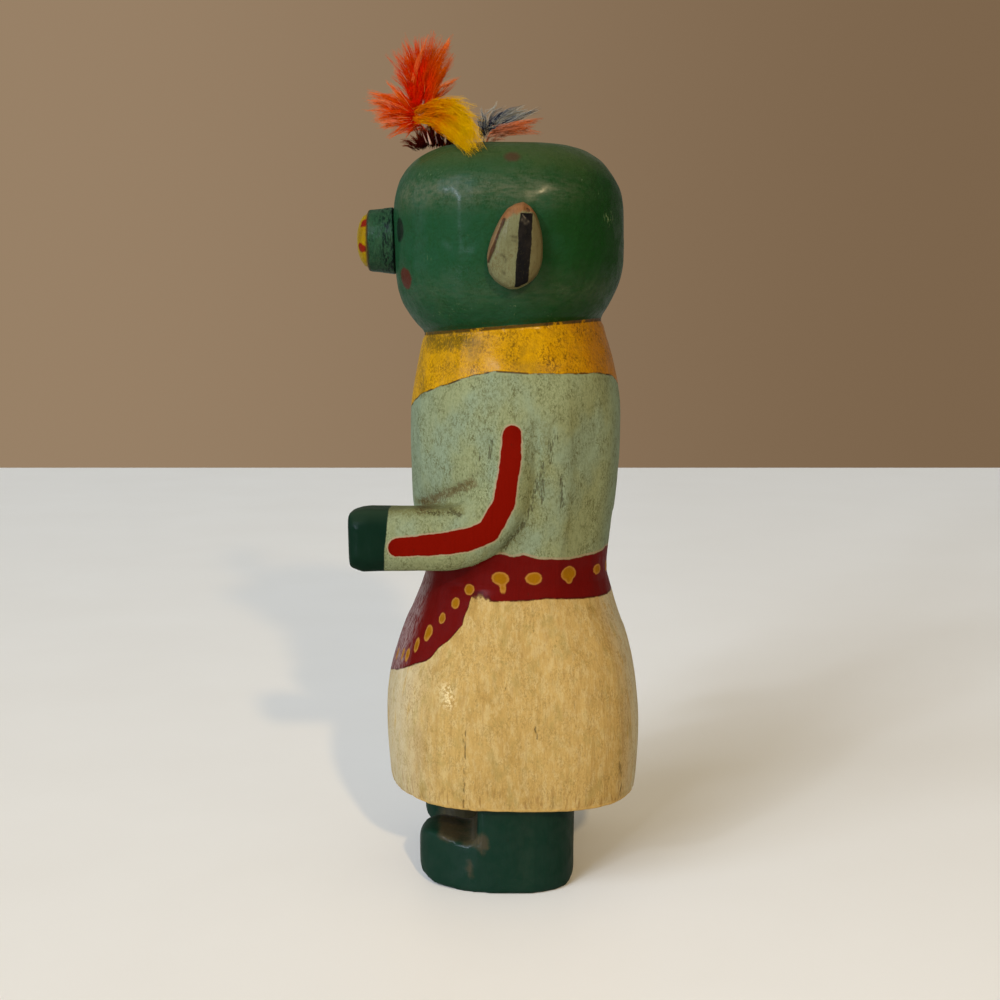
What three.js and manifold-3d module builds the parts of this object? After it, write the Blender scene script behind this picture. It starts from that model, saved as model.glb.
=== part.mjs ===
// A small kachina doll, carved from one piece of light root wood and painted, 176 mm tall to the crown.
// The head, body, both arms, the kilt and both feet are one carving. The round snout and the two ears
// are pegs and slips of wood glued on, and six dyed feathers stand in the crown.
// Millimetres, +Z up. The doll stands on z = 0 and looks along -Y, and its left side is +X.

import * as THREE from 'three';
import { mergeVertices } from 'three/addons/utils/BufferGeometryUtils.js';
import Module from 'manifold-3d';

const manifold = await Module();
manifold.setup();

// ---------- Driving dimensions ----------

const GLUE_GAP = 0.3; // clear space between a glued piece and what it sits on
const RING_POINTS = 48; // points round a section of the head or body
const OUTLINE_SAMPLES = 12; // samples from one point of an outline to the next
const MERGE_DISTANCE = 1e-3; // points nearer than this are one point

// Head: a block with rounded edges, a little lower in front than behind.
const CROWN_Z = 176.3;
const CROWN_DOME = 0.35; // the crown is almost flat
const HEAD_FRONT_Y = -25.4;
const HEAD_BACK_Y = 29.6;
const HEAD_HALF_WIDTH = 29;
const HEAD_BASE_Z = 133.6; // at y = 0
const HEAD_BASE_SLOPE = 0.08; // rise of the head's lower edge towards the back
const HEAD_SQUARENESS = 2.7;
const CROWN_EDGE = { front: 14.6, back: 15.6, side: 15 }; // radii of the rounded upper edge
const JAW_EDGE = { front: 8, back: 6.5, side: 6.5, height: 14 }; // whittled lower edge
const JAW_POWER = 1.5; // 1 is a flat chamfer, 2 is a round one
const FACE_LEAN = 0.03; // the face leans back a little towards the chin
const FACE_LEAN_SHARE = 0.7; // from this share of the head's height down
const HEAD_STEPS = { jaw: 6, wall: 3, crown: 9 }; // rings up the head
const JAW_CROWDING = 1.6; // the jaw's rings stand closer together near the base

// Body: one column from the kilt's hem to inside the head. Each outline is z, distance pairs from below up.
const HEM_Z = 22;
const HEM_BREAK = 0.45; // the hem's edge is broken by this much
const NECK_TOP_Z = 141;
const BODY_SQUARENESS = 2.35;
const KILT_BACK_SQUARENESS = 3.1; // the kilt's two back corners are squarer
const KILT_SQUARE_FADE_Z = [56, 72]; // and end below the waist
const BODY_FACET = 0.963; // flats whittled on the torso's corners, as a share of the corner's distance
const NO_FACET = 1.05; // a flat this far out misses the corner
const FACET_START_Z = [62, 80]; // the flats begin above the kilt
const FACET_FADE_Z = [112, 124]; // and end in the shoulders
const BODY_STEPS = 30;
const BODY_FRONT = [
  [22, -27.2], [36, -28.2], [48, -27.4], [58, -24.7], [67, -20.9], [74, -18.5],
  [82, -19.4], [92, -21.2], [106, -21.8], [117, -21.3], [127, -19.6], [133, -18.3], [141, -17.8],
];
const BODY_BACK = [
  [22, 33.5], [36, 34.2], [48, 33.3], [58, 31.3], [67, 28.4], [75, 26.5],
  [82, 26.9], [96, 28.6], [108, 29.2], [117, 29.2], [128, 27], [136, 24.8], [141, 24.2],
];
const BODY_HALF_WIDTH = [
  [22, 30.3], [36, 31.2], [48, 30.6], [58, 28.8], [67, 26.8], [75, 25.7],
  [84, 26.6], [94, 28.1], [106, 29.3], [116, 29.3], [124, 27.4], [130, 24.8], [136, 22.6], [141, 21.8],
];

// Arms: bent at the elbow, the forearms straight out in front. The right arm is carved a little lower.
const ARM_OUTER_X = 30.6;
const ARM_SHOULDER_X = 27.4; // the upper arm sinks into the shoulder
const ARM_INNER_X = 17.5;
const ARM_CHAMFER = { tall: 3.2, wide: 2.6 };
const ARM_STEPS = 22;
const ELBOW_SHARE = 0.5; // where along the route the elbow is
const SHOULDER_SHARE = 0.35; // the arm stands fully proud from here on
const ARM_ROUTE = [[3.6, 121], [2.7, 110], [1.3, 99], [-2.4, 90], [-9.5, 86.1], [-20, 85.6], [-31.6, 85.4]];
const WRIST_HALF_HEIGHT = 7.3;
const ARM_HALF_HEIGHTS = [[0, 4.6], [0.25, 6], [0.55, 7], [1, WRIST_HALF_HEIGHT]]; // along the route
const HAND_LENGTH = 3; // the bevelled last part of the hand
const HAND_TIP_SHARE = 0.86; // size of the hand's end face against the wrist
const RIGHT_ARM_DROP = 6.6;
const RIGHT_ARM_SHORTER = 1.4;
// The gouge cut that parts the upper arm from the back. It starts at a share of its depth.
const GROOVE = { depth: 1.5, startShare: 0.1, fullness: 0.6, slope: 3, overhang: 3, steps: 12 };
const GROOVE_ROUTE = [[8.6, 119], [8, 108], [6.9, 97], [3.4, 87.4], [-1.6, 80.4]]; // y, z

// Feet: each is a block with a rounded plan, cut down over the toes, with a leg up into the kilt.
const LEG_TOP_Z = 30;
const FOOT_PLAN = [[6.4, -12], [9.4, -18], [15, -19.7], [20.2, -16.4], [24.2, -9], [26.1, 2],
  [24.8, 11], [20.6, 16.2], [14, 18.1], [8.4, 16.8], [6.2, 11], [6, 0]];
const TOE = { front: -19.8, top: 13.8, topBack: -15.4, round: 3.6 };
const INSTEP = { front: -8.2, floor: 11.8, shin: -5.4, shinLow: 15 };
// Under the toes: where the rounded tip starts, and where the underside is and then meets the ground.
const UNDER_TOES = {
  left: { tip: 4.2, y: -10.5, z: 0, groundY: -10.5 },
  right: { tip: 8.4, y: -15.2, z: 5, groundY: -6.5 }, // the right toes turn up
};
const HEEL = { back: 18.3, round: 1.8 };
const FOOT_CURVE_POINTS = 36;
const FOOT_CORNER_STEPS = 6;
const FOOT_SLAB = 30; // thicker than a foot is wide

// Snout: a short peg with a domed end.
const SNOUT = { z: 154.7, rootY: -12, faceY: -25, shoulderY: -31.8, tipY: -34.6 };
const SNOUT_RADIUS = { root: 8.1, end: 7.3, dome: 6.5 };
const SNOUT_EDGE = 0.3; // the end's broken edge
const SNOUT_SIDES = 32;
const SNOUT_DOME_STEPS = 4;

// Ears: a drop-shaped slip, point up, with a rounded face.
const EAR_OUTLINE = [[5.2, 161.7], [8.1, 158.8], [9.7, 151], [8.4, 145.3], [3, 142], [-2.2, 145],
  [-3, 150], [-0.9, 156.3], [1.9, 160.4]];
const EAR_MIDDLE = { y: 3.4, z: 150 };
const EAR_ROOT_X = 22;
const EAR_FACE_X = 33.9;
const EAR_LAYERS = [[EAR_ROOT_X, 0.97], [31.2, 0.97], [32.6, 0.91], [33.4, 0.73], [33.8, 0.42]]; // x and size
const EAR_POINTS = 26;

// Feathers: each has its route of [x, y, z], its widest half-width, and where along it that comes.
const FEATHER_THICKNESS = 0.5;
const FEATHER_ROOT = 0.45; // half-width of the quill
const FEATHER_STEPS = 9;
const FEATHER_SIDES = 6;
const FEATHER_SWELL = 1.6; // a higher number keeps a feather slim for longer
const FEATHER_END = 1.04; // its sides would meet just past its tip
const FEATHERS = {
  feather_orange_tall: {
    colour: 0xd24a10, width: 8.2, widest: 0.66,
    route: [[0.6, -12.8, 176.9], [0.5, -15, 181.5], [0.4, -17, 188], [0.6, -18.4, 195], [1, -17, 202.8]],
  },
  feather_orange_front: {
    colour: 0xd8571c, width: 5, widest: 0.68,
    route: [[3, -14.4, 176.6], [3, -18.2, 180.4], [3, -22, 182.3], [3, -26.8, 183.6], [3, -31.4, 185.6]],
  },
  feather_yellow: {
    colour: 0xd8a210, width: 3.4, widest: 0.6,
    route: [[5.4, -11.8, 176.8], [6, -13.6, 180.6], [11, -11.6, 183.8], [18, -7.4, 181.2], [24, -5.2, 174.6]],
  },
  feather_blue: {
    colour: 0x5a6478, width: 2.1, widest: 0.7,
    route: [[0.6, -3.6, 177], [0.7, -2.8, 180.3], [0.8, 0.6, 183.2], [1, 4.8, 185.4], [1.2, 9.2, 187]],
  },
  feather_red_wisp: {
    colour: 0xb8542c, width: 0.9, widest: 0.6,
    route: [[2.6, -2.4, 177], [2.8, -0.8, 179], [3, 2.4, 180.2], [3.2, 6, 181], [3.4, 9.6, 181.6]],
  },
  feather_root_tuft: {
    colour: 0x5a1c14, width: 1.8, widest: 0.5,
    route: [
      [7.6, -13, 176.5], [7.8, -15.4, 178.2], [7.8, -18.4, 178.4], [7.6, -21.6, 177.2], [7.4, -24.6, 176],
    ],
  },
};

const PAINT = { figure: 0x8c9b78, snout: 0x2c5a44, ear: 0xa9a585 };
const ROUGHNESS = { figure: 0.55, snout: 0.5, ear: 0.6, feather: 0.8 };

// ---------- Shape helpers ----------

/** Smooth outline through a few [z, value] pairs, as a function of z. */
function outline(pairs) {
  const curve = new THREE.SplineCurve(pairs.map(([z, value]) => new THREE.Vector2(z, value)));
  const samples = curve.getPoints(pairs.length * OUTLINE_SAMPLES);
  return (z) => {
    const next = samples.findIndex((point) => point.x >= z);
    if (next <= 0) return samples[next === 0 ? 0 : samples.length - 1].y;
    const low = samples[next - 1];
    const high = samples[next];
    return THREE.MathUtils.mapLinear(z, low.x, high.x, low.y, high.y);
  };
}

/** Distance from the middle of a squarish oval to its edge, at an angle from +X. */
function ovalRadius(angle, half, depth, squareness) {
  const across = (Math.abs(Math.cos(angle)) / half) ** squareness;
  const along = (Math.abs(Math.sin(angle)) / depth) ** squareness;
  return (across + along) ** (-1 / squareness);
}

/** The same, with a flat cut on each of the four corners. */
function facetedRadius(angle, half, depth, squareness, share) {
  const round = ovalRadius(angle, half, depth, squareness);
  const corner = Math.atan2(depth, half);
  const folded = Math.atan2(Math.abs(Math.sin(angle)), Math.abs(Math.cos(angle)));
  const flat = share * ovalRadius(corner, half, depth, squareness) / Math.cos(folded - corner);
  return Math.min(round, flat);
}

/** Faces in the other order, so that they point the other way. */
function turned(faces) {
  return faces.map((_, i) => faces[i - (i % 3) + (2 - (i % 3))]);
}

/** Whether the faces of a closed shape point inwards. */
function facesIn(points, faces) {
  let volume = 0;
  for (let i = 0; i < faces.length; i += 3) {
    const [a, b, c] = [points[faces[i]], points[faces[i + 1]], points[faces[i + 2]]];
    volume += a.dot(b.clone().cross(c));
  }
  return volume < 0;
}

/** Closed solid through rings of points, with a low fan over each end. */
function loft(rings, bottomCentre, topCentre) {
  const count = rings[0].length;
  const points = [...rings.flat(), bottomCentre, topCentre];
  const faces = [];
  for (let r = 0; r + 1 < rings.length; r += 1) {
    for (let i = 0; i < count; i += 1) {
      const a = r * count + i;
      const b = r * count + (i + 1) % count;
      faces.push(a, b, b + count, a, b + count, a + count);
    }
  }
  const bottom = rings.length * count;
  const lastRing = bottom - count;
  for (let i = 0; i < count; i += 1) {
    faces.push(bottom, (i + 1) % count, i);
    faces.push(bottom + 1, lastRing + i, lastRing + (i + 1) % count);
  }
  const geometry = new THREE.BufferGeometry();
  geometry.setAttribute('position', new THREE.Float32BufferAttribute(points.flatMap((p) => p.toArray()), 3));
  geometry.setIndex(facesIn(points, faces) ? turned(faces) : faces);
  return geometry;
}

/** Middle of a ring of points. */
function middle(ring) {
  const sum = ring.reduce((total, point) => total.add(point), new THREE.Vector3());
  return sum.divideScalar(ring.length);
}

/** A three.js geometry as a solid for joining and cutting. */
function solid(geometry) {
  const bare = geometry.clone();
  bare.deleteAttribute('normal');
  bare.deleteAttribute('uv');
  const merged = mergeVertices(bare, MERGE_DISTANCE);
  return new manifold.Manifold(new manifold.Mesh({
    numProp: 3,
    vertProperties: new Float32Array(merged.attributes.position.array),
    triVerts: new Uint32Array(merged.index.array),
  }));
}

/** A joined or cut solid as a named mesh in its colour. */
function namedMesh(name, body, colour, roughness) {
  const cut = body.getMesh();
  const geometry = new THREE.BufferGeometry();
  geometry.setAttribute('position', new THREE.Float32BufferAttribute(cut.vertProperties, 3));
  geometry.setIndex([...cut.triVerts]);
  geometry.computeVertexNormals();
  const material = new THREE.MeshStandardMaterial({ color: colour, roughness, metalness: 0 });
  const mesh = new THREE.Mesh(geometry, material);
  mesh.name = name;
  return mesh;
}

/** Mirror image of a geometry across the YZ plane, with its faces still pointing out. */
function mirrored(geometry) {
  const copy = geometry.clone().scale(-1, 1, 1);
  copy.setIndex(turned([...copy.index.array]));
  return copy;
}

// ---------- Head ----------

/** Height of the head's lower edge at a distance behind the origin. */
function headBase(y) {
  return HEAD_BASE_Z + HEAD_BASE_SLOPE * y;
}

/** How far the head's side stands in from its fullest line, at a height share from 0 (base) to 1. */
function headInset(share, base, crownRadius, jawDepth) {
  const z = base + share * (CROWN_Z - base);
  const aboveEdge = z - (CROWN_Z - crownRadius);
  if (aboveEdge > 0) return crownRadius - Math.sqrt(Math.max(crownRadius ** 2 - aboveEdge ** 2, 0));
  const drop = 1 - (z - base) / JAW_EDGE.height;
  if (drop <= 0) return 0;
  return jawDepth * (1 - (1 - drop ** JAW_POWER) ** (1 / JAW_POWER));
}

/** The head's block, grown all round by a clearance. */
function headGeometry(grow) {
  const height = CROWN_Z - HEAD_BASE_Z;
  const jawShare = JAW_EDGE.height / height;
  const crownShare = 1 - Math.max(CROWN_EDGE.front, CROWN_EDGE.back, CROWN_EDGE.side) / height;
  const shares = [];
  for (let i = 0; i < HEAD_STEPS.jaw; i += 1) {
    shares.push(jawShare * (i / HEAD_STEPS.jaw) ** JAW_CROWDING);
  }
  for (let i = 0; i < HEAD_STEPS.wall; i += 1) {
    shares.push(THREE.MathUtils.lerp(jawShare, crownShare, i / HEAD_STEPS.wall));
  }
  for (let i = 0; i <= HEAD_STEPS.crown; i += 1) {
    const rise = Math.sin((Math.PI / 2) * (i / HEAD_STEPS.crown));
    shares.push(THREE.MathUtils.lerp(crownShare, 1, rise));
  }
  const rings = shares.map((share) => {
    const lean = FACE_LEAN * height * Math.max(FACE_LEAN_SHARE - share, 0);
    const frontInset = headInset(share, headBase(HEAD_FRONT_Y), CROWN_EDGE.front, JAW_EDGE.front);
    const backInset = headInset(share, headBase(HEAD_BACK_Y), CROWN_EDGE.back, JAW_EDGE.back);
    const front = HEAD_FRONT_Y + lean + frontInset - grow;
    const back = HEAD_BACK_Y - backInset + grow;
    const half = HEAD_HALF_WIDTH - headInset(share, headBase(0), CROWN_EDGE.side, JAW_EDGE.side) + grow;
    const ring = [];
    for (let i = 0; i < RING_POINTS; i += 1) {
      const angle = (2 * Math.PI * i) / RING_POINTS;
      const reach = ovalRadius(angle, half, (back - front) / 2, HEAD_SQUARENESS);
      const y = (front + back) / 2 + reach * Math.sin(angle);
      const base = headBase(y) - grow;
      const z = base + share * (CROWN_Z + grow - base);
      ring.push(new THREE.Vector3(reach * Math.cos(angle), y, z));
    }
    return ring;
  });
  const top = middle(rings[rings.length - 1]);
  top.z += CROWN_DOME;
  return loft(rings, middle(rings[0]), top);
}

// ---------- Body ----------

const bodyFront = outline(BODY_FRONT);
const bodyBack = outline(BODY_BACK);
const bodyHalfWidth = outline(BODY_HALF_WIDTH);

/** Collar, torso, waist and kilt as one column. The ring before step 0 is the broken edge of the hem. */
function bodyGeometry() {
  const { lerp, smoothstep } = THREE.MathUtils;
  const rings = [];
  for (let step = -1; step <= BODY_STEPS; step += 1) {
    const share = Math.max(step, 0) / BODY_STEPS;
    const z = lerp(HEM_Z, NECK_TOP_Z, share);
    const broken = step < 0 ? HEM_BREAK : 0;
    const flat = smoothstep(z, ...FACET_START_Z) * (1 - smoothstep(z, ...FACET_FADE_Z));
    const facet = lerp(NO_FACET, BODY_FACET, flat);
    const backSquareness = lerp(KILT_BACK_SQUARENESS, BODY_SQUARENESS, smoothstep(z, ...KILT_SQUARE_FADE_Z));
    const middleY = (bodyFront(z) + bodyBack(z)) / 2;
    const depth = (bodyBack(z) - bodyFront(z)) / 2 - broken;
    const half = bodyHalfWidth(z) - broken;
    const ring = [];
    for (let i = 0; i < RING_POINTS; i += 1) {
      const angle = (2 * Math.PI * i) / RING_POINTS;
      const squareness = Math.sin(angle) > 0 ? backSquareness : BODY_SQUARENESS;
      const reach = facetedRadius(angle, half, depth, squareness, facet);
      const height = z + (step === 0 ? HEM_BREAK : 0);
      ring.push(new THREE.Vector3(reach * Math.cos(angle), middleY + reach * Math.sin(angle), height));
    }
    rings.push(ring);
  }
  return loft(rings, middle(rings[0]), middle(rings[rings.length - 1]));
}

// ---------- Arms ----------

/** One arm on the +X side, lowered and shortened by two amounts. */
function armGeometry(drop, shorter) {
  const route = ARM_ROUTE.map(([y, z], i) => {
    const share = i / (ARM_ROUTE.length - 1);
    const wrist = share === 1 ? shorter : 0;
    return new THREE.Vector3(0, y + wrist, z - drop * THREE.MathUtils.smoothstep(share, 0, ELBOW_SHARE));
  });
  const curve = new THREE.CatmullRomCurve3(route, false, 'centripetal');
  const sizes = outline(ARM_HALF_HEIGHTS);
  const ringAt = (centre, across, half, outer, inner, size) => {
    const flat = half - ARM_CHAMFER.tall * size;
    const face = (outer + inner) / 2;
    const reach = ((outer - inner) / 2) * size;
    const low = reach - ARM_CHAMFER.wide * size;
    const corners = [
      [flat, reach], [half, low], [half, -low], [flat, -reach],
      [-flat, -reach], [-half, -low], [-half, low], [-flat, reach],
    ];
    return corners.map(([up, out]) => centre.clone()
      .addScaledVector(across, up)
      .add(new THREE.Vector3(face + out, 0, 0)));
  };
  const rings = [];
  for (let step = 0; step <= ARM_STEPS; step += 1) {
    const t = step / ARM_STEPS;
    const centre = curve.getPointAt(t);
    const along = curve.getTangentAt(t);
    const across = new THREE.Vector3(0, -along.z, along.y);
    const proud = THREE.MathUtils.smoothstep(t, 0, SHOULDER_SHARE);
    const outer = THREE.MathUtils.lerp(ARM_SHOULDER_X, ARM_OUTER_X, proud);
    rings.push(ringAt(centre, across, sizes(t), outer, ARM_INNER_X, 1));
  }
  const tip = curve.getPointAt(1).add(curve.getTangentAt(1).multiplyScalar(HAND_LENGTH));
  const tangent = curve.getTangentAt(1);
  const tipAcross = new THREE.Vector3(0, -tangent.z, tangent.y);
  const tipHalf = WRIST_HALF_HEIGHT * HAND_TIP_SHARE;
  rings.push(ringAt(tip, tipAcross, tipHalf, ARM_OUTER_X, ARM_INNER_X, HAND_TIP_SHARE));
  return loft(rings, middle(rings[0]), middle(rings[rings.length - 1]));
}

/** The gouge cut along the back of the upper arm, as a solid to take away. */
function grooveGeometry(drop) {
  const last = GROOVE_ROUTE.length - 1;
  const curve = new THREE.CatmullRomCurve3(GROOVE_ROUTE.map(([y, z], i) => (
    new THREE.Vector3(0, y, z - drop * (i / last) ** 2)
  )));
  const rings = [];
  for (let step = 0; step <= GROOVE.steps; step += 1) {
    const t = step / GROOVE.steps;
    const centre = curve.getPointAt(t);
    const along = curve.getTangentAt(t);
    const deep = GROOVE.depth * (GROOVE.startShare + Math.sin(Math.PI * t) ** GROOVE.fullness);
    const outside = GROOVE.overhang * deep;
    const across = new THREE.Vector3(0, -along.z, along.y).multiplyScalar(outside * GROOVE.slope / 2);
    const bed = bodyHalfWidth(centre.z) - deep;
    rings.push([
      new THREE.Vector3(bed, centre.y, centre.z),
      new THREE.Vector3(bed + outside, centre.y, centre.z).sub(across),
      new THREE.Vector3(bed + outside, centre.y, centre.z).add(across),
    ]);
  }
  return loft(rings, middle(rings[0]), middle(rings[rings.length - 1]));
}

// ---------- Feet ----------

/** One foot and leg on the +X side: a rounded plan and a side outline, each extruded, where both are. */
function footSolid(under) {
  const edge = new THREE.CatmullRomCurve3(
    FOOT_PLAN.map(([x, y]) => new THREE.Vector3(x, y, 0)), true, 'centripetal',
  ).getPoints(FOOT_CURVE_POINTS).slice(0, -1);
  const plan = new THREE.Shape(edge.map((point) => new THREE.Vector2(point.x, point.y)));
  const column = new THREE.ExtrudeGeometry(plan, { depth: LEG_TOP_Z, bevelEnabled: false });
  const side = new THREE.Shape();
  side.moveTo(HEEL.back - HEEL.round, 0);
  side.lineTo(HEEL.back, HEEL.round);
  side.lineTo(HEEL.back, LEG_TOP_Z);
  side.lineTo(INSTEP.shin, LEG_TOP_Z);
  side.lineTo(INSTEP.shin, INSTEP.shinLow);
  side.quadraticCurveTo(INSTEP.shin, INSTEP.floor, INSTEP.front, INSTEP.floor);
  side.lineTo(TOE.topBack, TOE.top);
  side.quadraticCurveTo(TOE.front, TOE.top, TOE.front, TOE.top - TOE.round);
  side.lineTo(TOE.front, under.tip);
  side.quadraticCurveTo(TOE.front, under.z, under.y, under.z);
  side.lineTo(under.groundY, 0);
  const slab = new THREE.ExtrudeGeometry(side, {
    depth: FOOT_SLAB, bevelEnabled: false, curveSegments: FOOT_CORNER_STEPS,
  });
  slab.applyMatrix4(new THREE.Matrix4().makeBasis(
    new THREE.Vector3(0, 1, 0), new THREE.Vector3(0, 0, 1), new THREE.Vector3(1, 0, 0),
  ));
  return solid(column).intersect(solid(slab));
}

// ---------- Snout, ears and feathers ----------

/** The snout as a turned peg along -Y, its root still inside the head. */
function snoutGeometry() {
  const along = (y) => SNOUT.rootY - y;
  const end = along(SNOUT.shoulderY);
  const profile = [
    new THREE.Vector2(0, 0),
    new THREE.Vector2(SNOUT_RADIUS.root, 0),
    new THREE.Vector2(SNOUT_RADIUS.root, along(SNOUT.faceY)),
    new THREE.Vector2(SNOUT_RADIUS.end, end - SNOUT_EDGE),
    new THREE.Vector2(SNOUT_RADIUS.end - SNOUT_EDGE, end),
  ];
  for (let i = 0; i <= SNOUT_DOME_STEPS; i += 1) {
    const angle = (Math.PI / 2) * (i / SNOUT_DOME_STEPS);
    const radius = i === SNOUT_DOME_STEPS ? 0 : SNOUT_RADIUS.dome * Math.cos(angle);
    profile.push(new THREE.Vector2(radius, THREE.MathUtils.lerp(end, along(SNOUT.tipY), Math.sin(angle))));
  }
  const peg = new THREE.LatheGeometry(profile, SNOUT_SIDES);
  peg.rotateX(Math.PI);
  return peg.translate(0, SNOUT.rootY, SNOUT.z);
}

/** The ear's drop-shaped slip on the +X side, its root still inside the head. */
function earGeometry() {
  const edge = new THREE.CatmullRomCurve3(
    EAR_OUTLINE.map(([y, z]) => new THREE.Vector3(0, y, z)), true, 'centripetal',
  ).getSpacedPoints(EAR_POINTS).slice(0, -1).reverse();
  const rings = EAR_LAYERS.map(([x, size]) => edge.map((point) => new THREE.Vector3(
    x,
    EAR_MIDDLE.y + (point.y - EAR_MIDDLE.y) * size,
    EAR_MIDDLE.z + (point.z - EAR_MIDDLE.z) * size,
  )));
  const face = new THREE.Vector3(EAR_FACE_X, EAR_MIDDLE.y, EAR_MIDDLE.z);
  return loft(rings, middle(rings[0]), face);
}

/** A feather's blade: a thin leaf along its route, flat to the side. */
function featherGeometry({ route, width, widest }) {
  const curve = new THREE.CatmullRomCurve3(route.map((point) => new THREE.Vector3(...point)));
  const side = new THREE.Vector3(1, 0, 0);
  const rings = [];
  for (let step = 0; step <= FEATHER_STEPS; step += 1) {
    const t = step / FEATHER_STEPS;
    const along = curve.getTangentAt(t);
    const across = new THREE.Vector3().crossVectors(side, along).normalize();
    const face = new THREE.Vector3().crossVectors(along, across).normalize();
    const swell = t < widest
      ? Math.sin((Math.PI / 2) * (t / widest)) ** FEATHER_SWELL
      : Math.cos((Math.PI / 2) * ((t - widest) / (FEATHER_END - widest)));
    const half = FEATHER_ROOT + (width - FEATHER_ROOT) * swell;
    const ring = [];
    for (let i = 0; i < FEATHER_SIDES; i += 1) {
      const angle = (2 * Math.PI * i) / FEATHER_SIDES;
      ring.push(curve.getPointAt(t)
        .addScaledVector(across, half * Math.cos(angle))
        .addScaledVector(face, FEATHER_THICKNESS * Math.sin(angle)));
    }
    rings.push(ring);
  }
  return loft(rings, middle(rings[0]), middle(rings[rings.length - 1]));
}

// ---------- Assembly ----------

const doll = new THREE.Group();

const head = solid(headGeometry(0));
const headClearance = solid(headGeometry(GLUE_GAP));
const leftFoot = footSolid(UNDER_TOES.left);
const rightFoot = footSolid(UNDER_TOES.right).mirror([1, 0, 0]);
const leftArm = solid(armGeometry(0, 0));
const rightArm = solid(mirrored(armGeometry(RIGHT_ARM_DROP, RIGHT_ARM_SHORTER)));
const torso = solid(bodyGeometry())
  .subtract(solid(grooveGeometry(0)))
  .subtract(solid(mirrored(grooveGeometry(RIGHT_ARM_DROP))));
const figure = torso.add(head).add(leftArm).add(rightArm).add(leftFoot).add(rightFoot);
doll.add(namedMesh('figure', figure, PAINT.figure, ROUGHNESS.figure));

const snout = solid(snoutGeometry()).subtract(headClearance);
doll.add(namedMesh('snout', snout, PAINT.snout, ROUGHNESS.snout));

const ear = earGeometry();
doll.add(namedMesh('ear_left', solid(ear).subtract(headClearance), PAINT.ear, ROUGHNESS.ear));
doll.add(namedMesh('ear_right', solid(mirrored(ear)).subtract(headClearance), PAINT.ear, ROUGHNESS.ear));

for (const [name, feather] of Object.entries(FEATHERS)) {
  const blade = solid(featherGeometry(feather)).subtract(headClearance);
  doll.add(namedMesh(name, blade, feather.colour, ROUGHNESS.feather));
}

export default doll;
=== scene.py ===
"""The looks of a small painted kachina doll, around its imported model.

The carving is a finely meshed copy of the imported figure, cut with a knife and then painted: each paint's
edge is a distance stored on the vertices, which the paint reads. The snout, the ears and the feathers are
pieces of their own. Lengths are metres. Paint lines and cuts are millimetres, seen from the doll's side as
(y, z), or as (angle, z), where the angle goes round the body from -90 in front to 90 behind.
"""

import math
import random

import bmesh
import bpy
import numpy as np
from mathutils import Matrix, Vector, kdtree, noise


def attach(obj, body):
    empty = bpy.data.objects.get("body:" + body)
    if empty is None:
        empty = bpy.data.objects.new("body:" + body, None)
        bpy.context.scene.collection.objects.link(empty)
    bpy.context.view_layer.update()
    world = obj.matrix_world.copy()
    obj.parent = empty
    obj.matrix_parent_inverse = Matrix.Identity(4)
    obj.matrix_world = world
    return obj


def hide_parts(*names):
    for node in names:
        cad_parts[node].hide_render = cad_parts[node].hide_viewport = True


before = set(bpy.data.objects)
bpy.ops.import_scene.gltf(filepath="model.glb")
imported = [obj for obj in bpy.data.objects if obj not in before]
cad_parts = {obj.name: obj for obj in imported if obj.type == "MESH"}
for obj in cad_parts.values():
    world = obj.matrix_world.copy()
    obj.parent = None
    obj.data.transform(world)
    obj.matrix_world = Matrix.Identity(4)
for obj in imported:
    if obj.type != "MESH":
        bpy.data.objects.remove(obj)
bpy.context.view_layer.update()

MM = 0.001
SEED = 7

# ---------- Camera, table and light ----------

CAMERA_AT = Vector((0.3445, 0, 0.1347))
CAMERA_DOWN = math.radians(7.17)
CAMERA_LENS = 50.4  # mm, on a sensor 36 mm wide
TABLE_HALF_WIDTH = 0.97
WALL_LIGHT_AND_SHADE = ((0.317, 0.22, 0.135), (0.199, 0.128, 0.071))  # the plain wall at its left and right; lighter at the left, near the window: painted light
ROOM_COLOUR = (0.385, 0.365, 0.32)  # the light that the room gives
WINDOW_COLOUR = (0.69, 0.8, 1.0)
# Daylight from each part of the window: degrees from the camera's side to the doll's back, degrees up,
# how wide it is in degrees, and its strength.
WINDOWS = {
    "sky": {"turn": -43, "height": 35, "spread": 40, "strength": 2.35},
    "high_pane": {"turn": -40, "height": 26, "spread": 4, "strength": 0.5},
    "middle_pane": {"turn": -35, "height": 19, "spread": 7, "strength": 0.55},
    "low_pane": {"turn": -29, "height": 12, "spread": 5, "strength": 0.8},
    "side_pane": {"turn": -85, "height": 12, "spread": 36, "strength": 0.4},
}
LAMP = {"place": (1.1, 0.29, 0.65), "radius": 0.03, "power": 32, "colour": (1.0, 0.75, 0.42)}


def make_camera():
    """The camera on the doll's left side, looking a little down."""
    data = bpy.data.cameras.new("camera")
    data.lens = CAMERA_LENS
    data.sensor_width = 36
    camera = bpy.data.objects.new("camera", data)
    camera.location = CAMERA_AT
    camera.rotation_euler = (math.pi / 2 - CAMERA_DOWN, 0, math.pi / 2)
    bpy.context.collection.objects.link(camera)
    bpy.context.scene.camera = camera


def make_daylight(name, turn, height, spread, strength):
    """A far light, so that it falls evenly on doll and table."""
    turn = math.radians(turn)
    height = math.radians(height)
    away = Vector((math.cos(turn) * math.cos(height), math.sin(turn) * math.cos(height), math.sin(height)))
    data = bpy.data.lights.new(name, "SUN")
    data.angle = math.radians(spread)
    data.energy = strength
    data.color = WINDOW_COLOUR
    light = bpy.data.objects.new(name, data)
    light.location = away
    light.rotation_euler = away.to_track_quat("Z", "Y").to_euler()
    bpy.context.collection.objects.link(light)


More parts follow.
